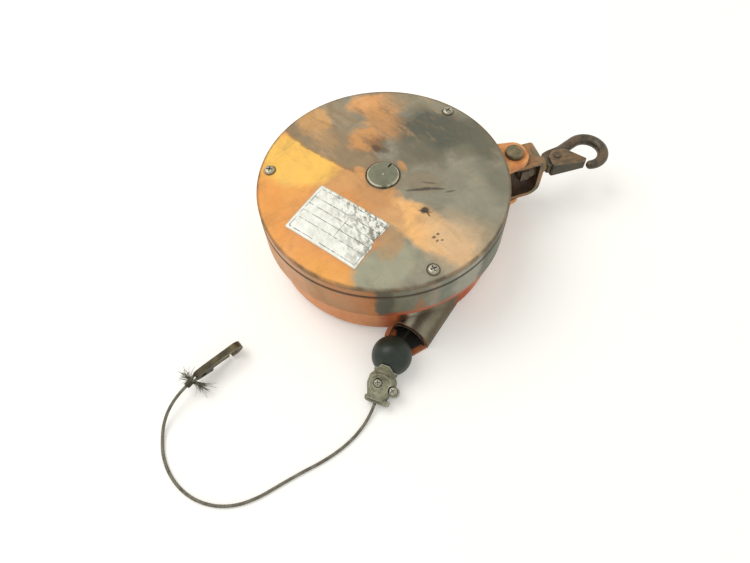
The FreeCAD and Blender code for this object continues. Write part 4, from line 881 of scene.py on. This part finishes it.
route = metres([BALL + CLAMP_LINE * CLAMP_END, BALL + CLAMP_LINE * (CLAMP_END + 7.0), (-58.2, -129.6, 1.2)]
               + [(x, y, FLOOR_LIE) for x, y in ON_FLOOR]
               + [(-172.2, -98.4, 1.3), (-169.8, -89.6, 3.1), (-164.6, -82.2, 6.6),
                  EYE + END_LINE * (FERRULE_START - 6.4), EYE + END_LINE * FERRULE_START])

guide = bpy.data.curves.new("rope_line", "CURVE")
guide.dimensions = "3D"
guide.resolution_u = 40
spline = guide.splines.new("NURBS")
spline.points.add(len(route) - 1)
for point, place_of in zip(spline.points, route):
    point.co = (*place_of, 1.0)
spline.order_u = 3
spline.use_endpoint_u = True
guide_object = bpy.data.objects.new("rope_line", guide)
bpy.context.scene.collection.objects.link(guide_object)
bpy.context.view_layer.update()
traced = bpy.data.meshes.new_from_object(guide_object)
rope_path = [v.co.copy() for v in traced.vertices]
bpy.data.objects.remove(guide_object)
bpy.data.meshes.remove(traced)


def even(points, step=0.0004):
    """The same line with evenly spaced points, and its length."""
    lengths = [0.0]
    for a, b in zip(points, points[1:]):
        lengths.append(lengths[-1] + (b - a).length)
    count = int(lengths[-1] / step)
    result, k = [], 0
    for i in range(count + 1):
        at = lengths[-1] * i / count
        while k < len(points) - 2 and lengths[k + 1] < at:
            k += 1
        gap = lengths[k + 1] - lengths[k]
        result.append(points[k].lerp(points[k + 1], (at - lengths[k]) / gap if gap else 0.0))
    return result, lengths[-1]


rope_path, rope_length = even(rope_path)
rope = rope_mesh("laid_rope", rope_path)
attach(rope, "rope")
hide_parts("wire_rope")

lead_path = line_between(line_point(0.3, DRUM_HEIGHT) * MM, BALL * MM)
lead_path += line_between(BALL * MM, (BALL + CLAMP_LINE * CLAMP_END) * MM)[1:]
lead = rope_mesh("laid_lead", lead_path, finish="rope_greasy")
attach(lead, "rope")
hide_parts("rope_lead")

LOOP_LONG, LOOP_WIDE = 4.2, 1.6      # half sizes of the end loop
LOOP_POINTS = 66
ACROSS = Vector((-math.sin(LOOP_HEADING), math.cos(LOOP_HEADING), 0))
loop_path = [(EYE + END_LINE * LOOP_LONG * math.cos(a) + ACROSS * LOOP_WIDE * math.sin(a)) * MM
             for a in (2 * math.pi * i / LOOP_POINTS for i in range(LOOP_POINTS))]
loop = rope_mesh("laid_loop", loop_path, closed=True)
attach(loop, "rope")
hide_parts("rope_loop")


# ---- frayed wires at the rope's end -------------------------------------
WIRE_STEPS, WIRE_SIDES = 6, 5


def scatter(rng, *spreads):
    """Random offset, with one spread for each axis."""
    return Vector([rng.gauss(0, spread) for spread in spreads])


def tuft(name, root, heading, spread, length, count, seed, thickness=0.13):
    """Broken wires that stand out of the rope's end, each one a thin bent rod."""
    rng = random.Random(seed)
    vertices, faces = [], []
    for _ in range(count):
        direction = Vector(heading) + scatter(rng, spread, spread, spread * 0.5)
        direction.normalize()
        bend = scatter(rng, 1, 1, 0.5) * 0.35
        reach = length * rng.uniform(0.55, 1.0)
        start = Vector(root) + scatter(rng, 0.35, 0.35, 0.3)
        side = direction.orthogonal().normalized()
        other = direction.cross(side)
        faces += tube_faces(WIRE_STEPS + 1, WIRE_SIDES, len(vertices))
        for i in range(WIRE_STEPS + 1):
            part = i / WIRE_STEPS
            middle = start + direction * reach * part + bend * reach * part * part
            middle.z = max(middle.z, 0.25)
            for j in range(WIRE_SIDES):
                angle = 2 * math.pi * j / WIRE_SIDES
                off = side * math.cos(angle) + other * math.sin(angle)
                vertices.append((middle + off * thickness) * MM)
    mesh = bpy.data.meshes.new(name)
    mesh.from_pydata([tuple(v) for v in vertices], [], faces)
    mesh.uv_layers.new(name="lay")
    for polygon in mesh.polygons:
        polygon.use_smooth = True
    piece = add_piece(name, mesh, "rope_wire")
    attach(piece, "rope")
    return piece


near_tuft = tuft("frayed_wires_near", (-146.6, -70.3, 8.2), (0.74, -0.64, -0.2), spread=0.16, length=9.6,
                 count=60, seed=3)
far_tuft = tuft("frayed_wires_far", (-148.4, -68.3, 9.2), (-0.5, 0.8, 0.1), spread=0.28, length=6.4,
                count=56, seed=8)


# ---- hook gate: drawn in to a blunt point that closes on the nose --------
GATE_PIVOT = Vector((125.5, 0.0, 34.5)) * MM      # middle of the gate's rivet
GATE_SET = math.radians(-5.5)                     # heading of the closed gate
DRAWN_FROM = 15.5 * MM   # distance from the rivet where the point starts
DRAWN_ON = 0.8           # millimetres by which the point reaches further
DRAWN_THIN = 0.62        # share of its thickness that it keeps

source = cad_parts["hook_gate"]
gate_line = Vector((math.cos(GATE_SET), math.sin(GATE_SET), 0))
gate_points = []
for vertex in source.data.vertices:
    point = vertex.co.copy()
    if (point - GATE_PIVOT).dot(gate_line) > DRAWN_FROM:
        point += gate_line * DRAWN_ON * MM
        point.z = GATE_PIVOT.z + (point.z - GATE_PIVOT.z) * DRAWN_THIN
    gate_points.append(tuple(point))
gate_mesh = bpy.data.meshes.new("drawn_gate")
gate_mesh.from_pydata(gate_points, [], [tuple(f.vertices) for f in source.data.polygons])
gate = add_piece("drawn_gate", gate_mesh, "gate_sheet")
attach(gate, "hook_gate")
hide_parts("hook_gate")


# ---- floor and light ----------------------------------------------------
FLOOR_HALF = 4.0
GLOW_NEAR, GLOW_FAR = 0.45, 2.5      # the floor's glow grows between these distances


def rays_that_see(net):
    """1 for what the camera, gloss and glass see, 0 for light that bounces."""
    rays = net.put("LightPath").outputs
    return net.calc("MAXIMUM", rays["Is Camera Ray"],
                    net.calc("MAXIMUM", rays["Is Glossy Ray"], rays["Is Transmission Ray"]))


def white_floor():
    """Matt white floor that glows a little, and more towards the horizon."""
    material = bpy.data.materials.new("floor_white")
    material.use_nodes = True
    net = Net(material.node_tree)
    ground = net.length(net.put("NewGeometry").outputs["Position"])
    glow = net.times(rays_that_see(net), net.remap(ground, GLOW_NEAR, GLOW_FAR, 0.23, 0.6))
    net.wire(material.node_tree.nodes["Principled BSDF"], {
        "Base Color": (0.93, 0.92, 0.875, 1.0), "Roughness": 0.9, "Specular IOR Level": 0.0,
        "Emission Color": (1.0, 0.995, 0.97, 1.0), "Emission Strength": glow})
    mesh = bpy.data.meshes.new("floor")
    corners = [(x * FLOOR_HALF, y * FLOOR_HALF, 0) for x, y in ((-1, -1), (1, -1), (1, 1), (-1, 1))]
    mesh.from_pydata(corners, [], [(0, 1, 2, 3)])
    mesh.materials.append(material)
    return mesh


floor = bpy.data.objects.new("floor", white_floor())
bpy.context.scene.collection.objects.link(floor)

world = bpy.data.worlds.new("studio")
world.use_nodes = True
world_net = Net(world.node_tree)
brightness = world_net.remap(rays_that_see(world_net), 0.0, 1.0, 0.66, 1.0)
world_net.wire(world.node_tree.nodes["Background"],
               {"Color": (1.0, 0.995, 0.965, 1.0), "Strength": brightness})
bpy.context.scene.world = world


def softbox(name, place_at, target, size, power):
    """Square soft light at a place, turned towards its target."""
    lamp = bpy.data.lights.new(name, "AREA")
    lamp.shape = "SQUARE"
    lamp.size = size
    lamp.energy = power
    holder = bpy.data.objects.new(name, lamp)
    bpy.context.scene.collection.objects.link(holder)
    holder.location = place_at
    holder.rotation_mode = "QUATERNION"
    holder.rotation_quaternion = (Vector(target) - Vector(place_at)).to_track_quat("-Z", "Y")


softbox("key_light", (-0.55, 0.45, 1.2), (0, -0.02, 0.02), size=0.9, power=7.6)
bpy.context.scene.view_settings.view_transform = "Standard"
